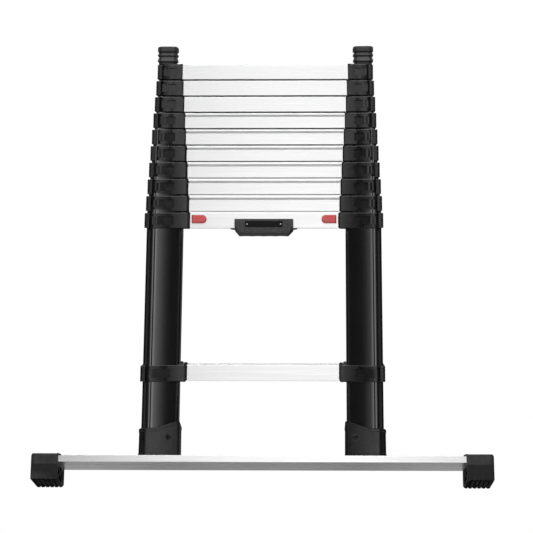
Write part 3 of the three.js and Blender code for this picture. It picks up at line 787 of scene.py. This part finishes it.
def top_collar():
    base = tread_z(LEVELS)
    seat = prism(stile_outline(-0.05), base - 40, base + COLLAR_SEAT)
    passage = prism(stile_outline(STILE_WALL), base - 40, base + 60)
    bush = prism(circle(7.3), COLLAR_END - 11, STILE_INNER + 3, "x", base=base)
    collar = cut(collar_wall(LEVELS), seat, passage, bush, *panel_cutters(LEVELS))
    collar = join(collar, *panel_ridges(LEVELS))
    pair(collar, "top_collar_{}", COLLAR_NYLON, "base", ["top_collar_{}"])


def low_collar():
    """A sleeve on the widest tube, with a lug on top that wedges it against the tube."""
    level = LEVELS + 1
    base = tread_z(level)
    top = COLLAR_HEIGHT / 2
    lug_outline = rounded([(STILE_INNER - 4.5, -14, 2), (STILE_INNER + 1, -14, 0),
                           (STILE_INNER + 1, 14, 0), (STILE_INNER - 4.5, 14, 2)], 4)
    lug = prism(lug_outline, top - 2, top + 4.5, slope=SLOPE, base=base)
    passage = prism(stile_outline(-0.15), base - 60, base + 60)
    collar = cut(join(collar_wall(level), lug), passage, *panel_cutters(level))
    pair(collar, "low_collar_{}", COLLAR_NYLON, "base", ["low_collar_{}"])


# ---------------------------------------------------------------------------------------------
# Treads
# ---------------------------------------------------------------------------------------------


def tread_outline(inset, detailed=False, grooved=False):
    """The section of a tread, (y, z) before its slope, with non-slip ribs along its top."""
    half = TREAD_HALF_DEPTH - inset
    top = TREAD_HEIGHT / 2 - inset
    radius = max(TREAD_RADIUS - inset, 0.8)
    corners = [(-half, -top, radius), (half, -top, radius), (half, top, radius)]
    if detailed:
        bead = -top - BEAD_DROP
        corners[1:2] = [(half - BEAD_WIDTH, -top, 0.4), (half - BEAD_WIDTH, bead, 0.5), (half, bead, 0.5)]
        pitch = 2 * (half - 3.5) / TREAD_RIBS
        for rib in range(TREAD_RIBS):
            y = half - 3.5 - pitch * rib
            corners += [(y, top, 0.25), (y - 0.5, top - 0.8, 0.2),
                        (y - pitch * 0.45, top - 0.8, 0.2), (y - pitch * 0.45 - 0.5, top, 0.25)]
    if not detailed:
        return rounded(corners + [(-half, top, radius)], 4)
    corners.append((FRONT_BOW - half, top, FRONT_RADIUS))
    if grooved:
        high = top - GROOVE_DROP
        low = high - GROOVE_WIDTH
        floor = GROOVE_DEPTH - half
        corners += [(-half, high, 0.3), (floor, high, 0.5), (floor, low, 0.5), (-half, low, 0.3)]
    else:
        corners.append((-half, top * 0.35, 0))
    corners.append((-half, -top * 0.35, 0))
    corners[0] = (FRONT_BOW - half, -top, FRONT_RADIUS)
    return rounded(corners, 4)


def tread(level):
    reach = collar_end(level) - GAP
    grooved = GROOVED_FROM <= level < LEVELS
    base = tread_z(level)
    outline = tread_outline(0, True, grooved)
    body = prism(outline, -reach, reach, "x", SLOPE, base)
    half = TREAD_HALF_DEPTH - TREAD_WALL
    top = TREAD_HEIGHT / 2 - TREAD_WALL
    web = 0.9
    back_cell = [(web, -top, 1), (half, -top, 1), (half, top, 1), (web, top, 1)]
    front_cell = [(-half, -top, 1), (-web, -top, 1), (-web, top, 1)]
    if grooved:
        below = TREAD_HEIGHT / 2 - GROOVE_DROP - GROOVE_WIDTH - TREAD_WALL
        behind = GROOVE_DEPTH + TREAD_WALL - TREAD_HALF_DEPTH
        front_cell += [(behind, top, 1), (behind, below, 1), (-half, below, 1)]
    else:
        front_cell.append((-half, top, 1))
    hollows = [
        prism(rounded(cell, 4), -reach - 1, reach + 1, "x", SLOPE, base)
        for cell in (front_cell, back_cell)
    ]
    cut(body, *hollows)
    if level == LEVELS:
        body = cut(body, *button_slots(base))
    piece(body, f"rung_{level}", TREAD_ALUMINIUM,
          body_of_level(level), [f"tread_{level}"])


def button_slots(base):
    """Slots behind the two release buttons."""
    slots = []
    for side in SIDES.values():
        low, high = sorted((side * 115.5, side * 131.5))
        z = -TREAD_HALF_DEPTH * SLOPE + base
        outline = rounded([(low, z - 5, 2), (high, z - 5, 2), (high, z + 5, 2), (low, z + 5, 2)], 4)
        slots.append(prism(outline, TREAD_HALF_DEPTH - TREAD_WALL - 1, TREAD_HALF_DEPTH + 2, "-y"))
    return slots


# ---------------------------------------------------------------------------------------------
# Top plugs
# ---------------------------------------------------------------------------------------------

PLUG_OUTER = 213.2
PLUG_INNER = 173.1
PLUG_HALF_DEPTH = 21
PLUG_INNER_HALF_DEPTH = 18.5
PLUG_NECK = 2.5
PLUG_SEAT = 17.9

# (inset, height above the collar) up three flared barbs to a flat domed top.
PLUG_ROWS = (
    (PLUG_NECK, -1.2), (PLUG_NECK, 4.3), (0.5, 4.7), (0.1, 5.2), (0, 5.9), (0.5, 8),
    (PLUG_NECK - 0.4, 13.2), (PLUG_NECK, 14.4), (PLUG_NECK - 0.3, 15.2), (0.4, 17),
    (0.05, 17.6), (0, 18.3), (0.5, 20), (PLUG_NECK - 0.4, 23.2), (PLUG_NECK, 24.2),
    (PLUG_NECK - 0.3, 24.8), (0.4, 26), (0.05, 26.5), (0, 27.3), (0, 33.6), (0.3, 34.9),
    (0.9, 35.9), (1.9, 36.7), (3.4, 37.2), (5.5, 37.4),
)


def top_plugs():
    base = tread_z(1) + PLUG_SEAT
    rings = []
    for inset, height in PLUG_ROWS:
        outer = PLUG_OUTER - inset
        inner = PLUG_INNER + inset
        half = PLUG_HALF_DEPTH - inset
        inner_half = PLUG_INNER_HALF_DEPTH - inset
        radius = max(9 - inset * 0.5, 2.5)
        outline = rounded([(outer, -half, radius), (outer, half, radius),
                           (inner, inner_half, radius), (inner, -inner_half, radius)], 10)
        rings.append([(x, y, base + height + y * SLOPE) for x, y in outline])
    plug = loft("plug", rings)
    stem_outline = stile_outline(nest_inset(1) + STILE_WALL + 0.1)
    stem = prism(stem_outline, base - 24, base + 4)
    pair(join(plug, stem), "cap_{}", PLUG_RUBBER, "section_1", ["top_plug_{}"])


# ---------------------------------------------------------------------------------------------
# Foot brackets, bar and feet
# ---------------------------------------------------------------------------------------------

BRACKET_FLOOR = 52
BRACKET_LOW_TOP = 98
BRACKET_RISE_START = 200
BRACKET_RISE_END = 154
BRACKET_INNER_HALF_DEPTH = 32
BRACKET_COLUMNS = 144
SCREW_X = 172.8
SCREW_Z = 81.8
SCREW_FACE = 36.8


def bracket_top(x):
    """The height of the bracket's rim, which climbs towards the treads."""
    share = (BRACKET_RISE_START - x) / (BRACKET_RISE_START - BRACKET_RISE_END)
    share = min(max(share, 0), 1)
    eased = share * share * (3 - 2 * share) * 0.35 + share * 0.65
    return BRACKET_LOW_TOP + (BRACKET_HIGH.z - BRACKET_LOW_TOP) * eased


def bracket():
    centre = Vector(((STILE_OUTER + STILE_INNER) / 2, 0))
    half = BRACKET_HIGH.y
    outline = bowed(rounded([
        (BRACKET_HIGH.x, -half, 15),
        (BRACKET_HIGH.x, half, 15),
        (BRACKET_LOW.x, BRACKET_INNER_HALF_DEPTH, 3),
        (BRACKET_LOW.x, -BRACKET_INNER_HALF_DEPTH, 3),
    ], 10), 1.0)
    outside = at_angles(outline, centre, BRACKET_COLUMNS)
    socket = at_angles(stile_outline(-0.15), centre, BRACKET_COLUMNS)
    flat = lambda ring, z: [(p.x, p.y, z) for p in ring]
    sloped = lambda ring, drop: [(p.x, p.y, bracket_top(p.x) - drop) for p in ring]
    foot = BRACKET_LOW.z
    rings = [flat(offset(outside, -0.6), foot), flat(outside, foot + 0.6), flat(outside, foot + 4),
             flat(offset(outside, -0.8), foot + 4.8), flat(offset(outside, -0.85), foot + 7),
             sloped(offset(outside, -1.15), 9), sloped(offset(outside, -1.2), 6.4),
             sloped(offset(outside, -0.5), 5.6), sloped(offset(outside, -0.5), 1.2),
             sloped(offset(outside, -1.7), 0), sloped(offset(socket, 0.8), 0),
             sloped(socket, 0.8), flat(socket, BRACKET_FLOOR)]
    body = loft("bracket", rings)
    recess = turned([(6.4, SCREW_FACE - 3), (6.4, SCREW_FACE + 12)], "-y", (SCREW_X, 0, SCREW_Z))
    hole = turned([(2.5, 20), (2.5, 60)], "-y", (SCREW_X, 0, SCREW_Z), 16)
    bolt_hole = prism(circle(3.4, 16, (190, 0)), foot - 1, BRACKET_FLOOR + 1)
    body = cut(body, recess, hole, bolt_hole)
    pair(body, "bracket_{}", COLLAR_NYLON, "base", ["foot_bracket_{}"])


def bracket_screw():
    """A pan-head screw with a hexagon socket, its threads hidden in the bracket."""
    seat = SCREW_FACE - 3.3
    profile = [(2.2, seat - 14), (2.2, seat), (4.7, seat), (4.8, seat + 0.5), (4.5, seat + 1.6),
               (3.8, seat + 2.3), (3.2, seat + 2.6)]
    screw = turned(profile, "-y", (SCREW_X, 0, SCREW_Z))
    socket = turned([(2.1, seat + 1), (2.1, seat + 4)], "-y", (SCREW_X, 0, SCREW_Z), 6)
    pair(cut(screw, socket), "screw_{}", BLACK_STEEL, "base", ["bracket_screw_{}"])


BAR_CELLS = 3
BAR_WALL = 2


def stabiliser_bar():
    """A flat extrusion of three cells, with shallow grooves over and under its webs."""
    middle = (BAR_HIGH.z + BAR_LOW.z) / 2
    tall = (BAR_HIGH.z - BAR_LOW.z) / 2
    deep = BAR_HIGH.y
    cell = (2 * deep - BAR_WALL) / BAR_CELLS
    webs = [-deep + BAR_WALL / 2 + cell * i for i in range(1, BAR_CELLS)]
    groove = lambda y, z, turn: [(y - turn * 0.8, z, 0.1), (y, z - turn * -0.5, 0.1),
                                 (y + turn * 0.8, z, 0.1)]
    corners = [(-deep, -tall, 0.6)]
    for y in webs:
        corners += groove(y, -tall, 1)
    corners += [(deep, -tall, 0.6), (deep, tall, 0.6)]
    for y in reversed(webs):
        corners += groove(y, tall, -1)
    corners.append((-deep, tall, 0.6))
    bar = prism(rounded(corners, 5), BAR_LOW.x, BAR_HIGH.x, "x", base=middle)
    tools = []
    for i in range(BAR_CELLS):
        start = -deep + BAR_WALL + i * cell
        end = start + cell - BAR_WALL
        inside = tall - BAR_WALL
        outline = rounded([(start, -inside, 0.8), (end, -inside, 0.8),
                           (end, inside, 0.8), (start, inside, 0.8)], 3)
        tools.append(prism(outline, BAR_LOW.x - 1, BAR_HIGH.x + 1, "x", base=middle))
    for side in SIDES.values():
        tools.append(prism(circle(3.4, 16, (side * 190, 0)), BAR_HIGH.z - BAR_WALL - 1, BAR_HIGH.z + 1))
    piece(cut(bar, *tools), "bar", BAR_ALUMINIUM, "base", ["stabiliser_bar"])


FOOT_TOE = 44
FOOT_HEEL_RADIUS = 9
FOOT_GROOVES = 5
FOOT_CROSS_GROOVES = 4


def foot():
    """A moulded rubber block with a treaded sole and crossed ribs in its inner side."""
    inner, outer = FOOT_LOW.x, FOOT_HIGH.x
    half, top = FOOT_HIGH.y, FOOT_HIGH.z
    side = rounded([(-FOOT_TOE, 0, 5), (half, 0, FOOT_HEEL_RADIUS), (half, top, 4), (-half, top, 3.5),
                    (-half, FOOT_CREASE, 2)], 10)
    face = rounded([(inner, 0, 7), (outer, 0, 3.5), (outer, top, 6), (inner, top, 1.5)], 8)
    plan = rounded([(inner, -half, 1), (outer, -half, 8), (outer, half, 13), (inner, half, 1)], 8)
    block = prism(side, inner, outer, "x")
    block = common(block, prism(face, -half - 1, half + 1, "-y"), prism(plan, -1, top + 1))
    lip = rounded([(inner - 6.5, BAR_HIGH.z + GAP, 0.3), (inner + 2, BAR_HIGH.z + GAP, 0),
                   (inner + 2, top, 0), (inner - 0.5, top, 1)], 4)
    block = join(block, prism(lip, half - 9, half, "-y"))
    tools = []
    bar_fit = [Vector(p) for p in ((-BAR_HIGH.y - GAP, BAR_LOW.z - GAP), (BAR_HIGH.y + GAP, BAR_LOW.z - GAP),
                                   (BAR_HIGH.y + GAP, BAR_HIGH.z + GAP), (-BAR_HIGH.y - GAP, BAR_HIGH.z + GAP))]
    tools.append(prism(bar_fit, inner - 1, BAR_HIGH.x + GAP, "x"))
    tools += foot_pockets(inner)
    spacing = (outer - inner) / (FOOT_GROOVES + 1)
    for i in range(1, FOOT_GROOVES + 1):
        x = inner + i * spacing
        groove = rounded([(x - 2.2, -1, 0), (x + 2.2, -1, 0), (x + 1.2, 2.6, 0.6), (x - 1.2, 2.6, 0.6)], 3)
        tools.append(prism(groove, -half - 1, half + 1, "-y"))
    for i in range(FOOT_CROSS_GROOVES):
        y = -FOOT_TOE + 12 + i * 15
        groove = rounded([(y - 1.9, -1, 0), (y + 1.9, -1, 0), (y + 1, 2.2, 0.5), (y - 1, 2.2, 0.5)], 3)
        tools.append(prism(groove, inner - 1, outer + 1, "x"))
    block = soften(cut(block, *tools), 0.5, 2)
    pair(block, "end_foot_{}", FOOT_RUBBER, "base", ["foot_{}"])


def foot_pockets(inner):
    """Triangular pockets between two crossed ribs."""
    rib = 2.4
    low, high = 5, BAR_LOW.z - 3.6
    front, back = 3.6 - FOOT_TOE, 22
    mid_y, mid_z = (front + back) / 2, (low + high) / 2
    triangles = [
        [(front + 2 * rib, low), (back - 2 * rib, low), (mid_y, mid_z - rib)],
        [(mid_y, mid_z + rib), (back - 2 * rib, high), (front + 2 * rib, high)],
        [(front, low + rib), (mid_y - 2 * rib, mid_z), (front, high - rib)],
        [(back, high - rib), (mid_y + 2 * rib, mid_z), (back, low + rib)],
    ]
    return [
        prism(rounded([(y, z, 1) for y, z in corners], 4), inner - 1, inner + 14, "x")
        for corners in triangles
    ]


# ---------------------------------------------------------------------------------------------
# Release buttons and springs
# ---------------------------------------------------------------------------------------------


BUTTON_RISE = 2.5


def release_button():
    """A D-shaped slider with a rounded rim, a bevelled flat end and shallow thumb grooves."""
    low, high = in_mm("release_button_right")
    middle = tread_z(LEVELS) - TREAD_HALF_DEPTH * SLOPE
    cap_middle = middle + BUTTON_RISE
    half = 7.6
    front = -low.y
    back = TREAD_HALF_DEPTH + GAP
    inner, outer = low.x, high.x

    def ring(inset, bevel, depth):
        outline = rounded([(inner + inset, -half + inset, half - inset - 0.01),
                           (outer - bevel, -half + inset, 1),
                           (outer - bevel, half - inset, 1),
                           (inner + inset, half - inset, half - inset - 0.01)], 10)
        return [(x, -depth, z + cap_middle) for x, z in outline]

    rings = [ring(0, 0, back), ring(0, 0, front - 2.2), ring(0.25, 1.0, front - 1.3),
             ring(0.8, 1.9, front - 0.5), ring(1.7, 2.8, front)]
    cap = loft("button", rings)
    grooves = []
    for i in range(3):
        x = inner + 11.5 + i * 4.2
        outline = [(x - 0.9, -front - 1), (x + 0.9, -front - 1), (x, -front + 0.6)]
        grooves.append(prism(outline, cap_middle - 5.2, cap_middle + 5.2))
    cap = cut(cap, *grooves)
    stem_outline = rounded([(124, -4.5, 0.6), (131, -4.5, 0.6), (131, 4.5, 0.6), (124, 4.5, 0.6)], 3)
    stem = prism(stem_outline, 12, back + 1, "-y", base=middle)
    yoke = prism(rounded([(124, -16, 0.6), (131, -16, 0.6), (131, 6, 0.6), (124, 6, 0.6)], 3),
                 -8, 6, base=tread_z(LEVELS))
    neck = prism(circle(3.3), 123, 132, "x", base=tread_z(LEVELS))
    button = cut(join(cap, stem, yoke), neck)
    pair(button, "button_{}", RED, "release_{}", ["release_button_{}"])


def lock_spring():
    """A close-wound helix about X, built at one fixed length; nothing here shortens it as the pin draws back.
    """
    low, high = in_mm("lock_spring_right")
    wire, turns, steps, sides = 0.7, 6, 26, 10
    radius = (high.y - low.y) / 2 - wire
    z0 = (low.z + high.z) / 2
    count = turns * steps
    rings = []
    for i in range(count + 1):
        angle = 2 * math.pi * i / steps
        x = low.x + wire + (high.x - low.x - 2 * wire) * i / count
        out = Vector((0, math.cos(angle), math.sin(angle)))
        centre = Vector((x, 0, z0)) + out * radius
        ring = []
        for j in range(sides):
            a = 2 * math.pi * j / sides
            ring.append(centre + out * wire * math.cos(a) + Vector((1, 0, 0)) * wire * math.sin(a))
        rings.append(ring)
    spring = loft("spring", rings)
    twin = mirrored(spring)
    for side, shape in (("left", twin), ("right", spring)):
        piece(shape, f"spring_{side}", STEEL, "base", [f"lock_spring_{side}"])
        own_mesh(shape)


# ---------------------------------------------------------------------------------------------
# Carry grip and label
# ---------------------------------------------------------------------------------------------


GRIP_HALF_WIDTH = 56.2
GRIP_FOOT_HALF_WIDTH = 47
GRIP_WAIST = 16.8
GRIP_WING = 7.5
GRIP_WING_ROOT = (10.6, 14.8)
GRIP_WING_TIP = (12.6, 14.2)
GRIP_SCALLOPS = 4
SCALLOP_STEPS = 8
SCALLOP_RISE = 0.9
LABEL_RADIUS = 2.4


def carry_grip():
    """A moulded grip round the front and underside of the tenth tread, scalloped below."""
    low, high = in_mm("carry_grip")
    label_low, label_high = in_mm("label_plate")
    base = tread_z(LEVELS)
    under = lambda y: -TREAD_HEIGHT / 2 + y * SLOPE - GAP
    foot, top = low.z - base, high.z - base
    waist = foot + GRIP_WAIST
    front, back = low.y, high.y
    face = -TREAD_HALF_DEPTH
    section = [Vector(p) for p in (
        (front, foot + 2), (front + 2, foot), (face + 4, foot), (back, under(back) - 5),
        (back, under(back)), (face - GAP, under(face - GAP)), (face - GAP, top), (front, top))]
    wide, narrow = GRIP_HALF_WIDTH, GRIP_FOOT_HALF_WIDTH
    outline = [(-narrow, foot)]
    steps = GRIP_SCALLOPS * SCALLOP_STEPS
    for i in range(steps + 1):
        share = i / steps
        rise = SCALLOP_RISE * abs(math.sin(math.pi * GRIP_SCALLOPS * share)) ** 1.5
        outline.append(((narrow - 3) * (2 * share - 1), foot + rise))
    outline += [(narrow, foot), (wide, waist), (wide, top), (-wide, top), (-wide, waist)]
    outline = [Vector(p) for p in outline]
    grip = prism(section, -wide, wide, "x", base=base)
    grip = common(grip, prism(outline, -back - 1, 1 - front, "-y", base=base))
    recess = plate_outline(label_low, label_high, -GAP)
    grip = cut(grip, prism(recess, -front - 1, -front + 3, "-y"))
    grip = soften(grip, 0.9)
    wings = []
    for side in SIDES.values():
        wedge = [(wide - 3, foot + GRIP_WING_ROOT[0]), (wide + GRIP_WING, foot + GRIP_WING_TIP[0]),
                 (wide + GRIP_WING, foot + GRIP_WING_TIP[1]), (wide - 3, foot + GRIP_WING_ROOT[1])]
        wedge = [Vector((x * side, z)) for x, z in (wedge if side > 0 else wedge[::-1])]
        wings.append(prism(wedge, -face + GAP, -face + 4, "-y", base=base))
    piece(join(grip, *wings), "grip", GRIP_NYLON, "base", ["carry_grip"])


def plate_outline(low, high, inset):
    """The label plate's outline with round ends, (x, z)."""
    x0, x1 = low.x + inset, high.x - inset
    z0, z1 = low.z + inset, high.z - inset
    radius = LABEL_RADIUS
    return rounded([(x0, z0, radius), (x1, z0, radius), (x1, z1, radius), (x0, z1, radius)], 6)


def label():
    """A blank plate held by two small rivets."""
    low, high = in_mm("label_plate")
    front = -low.y
    plate = soften(prism(plate_outline(low, high, 0), front - 1, front - 0.1, "-y"), 0.2, 2)
    piece(plate, "label", LABEL, "base", ["label_plate"])
    middle = (low.z + high.z) / 2
    profile = [(1.3, front - 0.5), (1.3, front - 0.08), (1.15, front - 0.03), (0.7, front)]
    rivets = [turned(profile, "-y", (x, 0, middle), 16) for x in (low.x + 3.4, high.x - 3.4)]
    piece(join(*rivets), "label_rivets", STEEL, "base", ["label_plate"])


# ---------------------------------------------------------------------------------------------
# Studio and camera
# ---------------------------------------------------------------------------------------------

CAMERA_PLACE = (0.0848, -3.2635, -0.5594)
CAMERA_PITCH = math.radians(16.705)
CAMERA_YAW = math.radians(-1.402)
CAMERA_ROLL = math.radians(0.414)
LENS = 120.2


def add_camera():
    data = bpy.data.cameras.new("camera")
    data.lens = LENS
    data.sensor_width = 36
    camera = bpy.data.objects.new("camera", data)
    bpy.context.scene.collection.objects.link(camera)
    ahead = Vector((
        math.sin(CAMERA_YAW) * math.cos(CAMERA_PITCH),
        math.cos(CAMERA_YAW) * math.cos(CAMERA_PITCH),
        math.sin(CAMERA_PITCH),
    ))
    level_right = Vector((math.cos(CAMERA_YAW), -math.sin(CAMERA_YAW), 0))
    level_up = level_right.cross(ahead)
    right = level_right * math.cos(CAMERA_ROLL) + level_up * math.sin(CAMERA_ROLL)
    up = level_up * math.cos(CAMERA_ROLL) - level_right * math.sin(CAMERA_ROLL)
    turn = Matrix((right, up, -ahead)).transposed().to_4x4()
    camera.matrix_world = Matrix.Translation(CAMERA_PLACE) @ turn
    bpy.context.scene.camera = camera


def add_lamp(name, place, aim, size, power):
    """A soft rectangular lamp at a place, facing a point. Power is in watts."""
    data = bpy.data.lights.new(name, "AREA")
    data.shape = "RECTANGLE"
    data.size, data.size_y = size
    data.energy = power
    lamp = bpy.data.objects.new(name, data)
    bpy.context.scene.collection.objects.link(lamp)
    towards = Vector(aim) - Vector(place)
    lamp.rotation_euler = towards.to_track_quat("-Z", "Y").to_euler()
    lamp.location = place
    return lamp


def add_floor():
    """A pale floor that can be seen from above only, so that a low camera looks through it."""
    reach = 30
    floor = bpy.data.objects.new("floor", bpy.data.meshes.new("floor"))
    corners = [(-reach, -reach, 0), (reach, -reach, 0), (reach, reach, 0), (-reach, reach, 0)]
    floor.data.from_pydata(corners, [], [(0, 1, 2, 3)])
    bpy.context.scene.collection.objects.link(floor)
    material = bpy.data.materials.new("pale_floor")
    material.use_nodes = True
    tree = material.node_tree
    shader = tree.nodes["Principled BSDF"]
    shader.inputs["Base Color"].default_value = grey(0.55)
    shader.inputs["Roughness"].default_value = 0.8
    shader.inputs["Emission Color"].default_value = grey(1.0)
    seen = tree.nodes.new("ShaderNodeLightPath").outputs["Is Camera Ray"]
    glow = tree.nodes.new("ShaderNodeMath")
    glow.operation = "MULTIPLY"
    glow.inputs[1].default_value = 0.5
    tree.links.new(seen, glow.inputs[0])
    tree.links.new(glow.outputs[0], shader.inputs["Emission Strength"])
    back = tree.nodes.new("ShaderNodeNewGeometry").outputs["Backfacing"]
    clear = tree.nodes.new("ShaderNodeBsdfTransparent")
    choose = tree.nodes.new("ShaderNodeMixShader")
    tree.links.new(back, choose.inputs[0])
    tree.links.new(shader.outputs[0], choose.inputs[1])
    tree.links.new(clear.outputs[0], choose.inputs[2])
    tree.links.new(choose.outputs[0], tree.nodes["Material Output"].inputs["Surface"])
    floor.data.materials.append(material)
    floor.visible_shadow = False
    floor.visible_diffuse = False


def add_world():
    """White behind the object, and a dimmer even light on it."""
    world = bpy.data.worlds.new("studio")
    bpy.context.scene.world = world
    world.use_nodes = True
    tree = world.node_tree
    tree.nodes["Background"].inputs["Color"].default_value = grey(1.0)
    tree.nodes["Background"].inputs["Strength"].default_value = 0.015
    white = tree.nodes.new("ShaderNodeBackground")
    white.inputs["Color"].default_value = grey(1.0)
    seen = tree.nodes.new("ShaderNodeLightPath").outputs["Is Camera Ray"]
    choose = tree.nodes.new("ShaderNodeMixShader")
    tree.links.new(seen, choose.inputs[0])
    tree.links.new(tree.nodes["Background"].outputs[0], choose.inputs[1])
    tree.links.new(white.outputs[0], choose.inputs[2])
    tree.links.new(choose.outputs[0], tree.nodes["World Output"].inputs["Surface"])


# The softbox in front is brightest in the middle: (width in metres, radiance) of each layer.
SOFTBOX = (
    (0.8, 0.50), (1.4, 0.24), (1.8, 0.20), (2.2, 0.18), (2.6, 0.13), (3.0, 0.10), (3.4, 0.07), (3.8, 0.04),
)
SOFTBOX_HEIGHT = 3.3
SOFTBOX_PLACE = (0.1, -4.3, 1.35)


def add_studio():
    bpy.context.scene.view_settings.view_transform = "Standard"
    add_world()
    add_floor()
    for i, (width, radiance) in enumerate(SOFTBOX):
        place = Vector(SOFTBOX_PLACE) - Vector((0, 0.02 * i, 0))
        aim = place + Vector((0, 1, 0))
        power = radiance * math.pi * width * SOFTBOX_HEIGHT
        add_lamp(f"front_{i}", place, aim, (width, SOFTBOX_HEIGHT), power)
    add_lamp("over", (0, -2.6, 3.9), (0, 0, 0.5), (3.2, 1.8), 85)
    add_lamp("under", (0, -2.2, -2.4), (0, 0, 0.4), (3.2, 1.6), 34)
    add_lamp("left", (-2.8, 0.6, 3.0), (0, 0, 0.5), (2.2, 2.2), 18)
    add_lamp("right", (2.8, 0.6, 3.0), (0, 0, 0.5), (2.2, 2.2), 18)
    add_lamp("back", (-0.4, 3.0, 4.0), (0, 0, 0.5), (3.0, 2.0), 40)
    add_lamp("side_left", (-4.2, -1.2, 1.3), (0, 0, 0.5), (3.0, 3.0), 3.6)
    add_lamp("side_right", (4.2, -1.2, 1.3), (0, 0, 0.5), (3.0, 3.0), 3.6)
    add_lamp("rim", (-0.4, 4.0, 1.5), (0, 0, 0.5), (3.0, 2.6), 2)


for level in range(1, LEVELS + 1):
    stile_tube(level)
for level in range(1, LEVELS):
    sliding_collar(level)
top_collar()
low_collar()
for level in range(1, LEVELS + 2):
    tread(level)
top_plugs()
bracket()
bracket_screw()
stabiliser_bar()
foot()
release_button()
lock_spring()
carry_grip()
label()
add_camera()
add_studio()
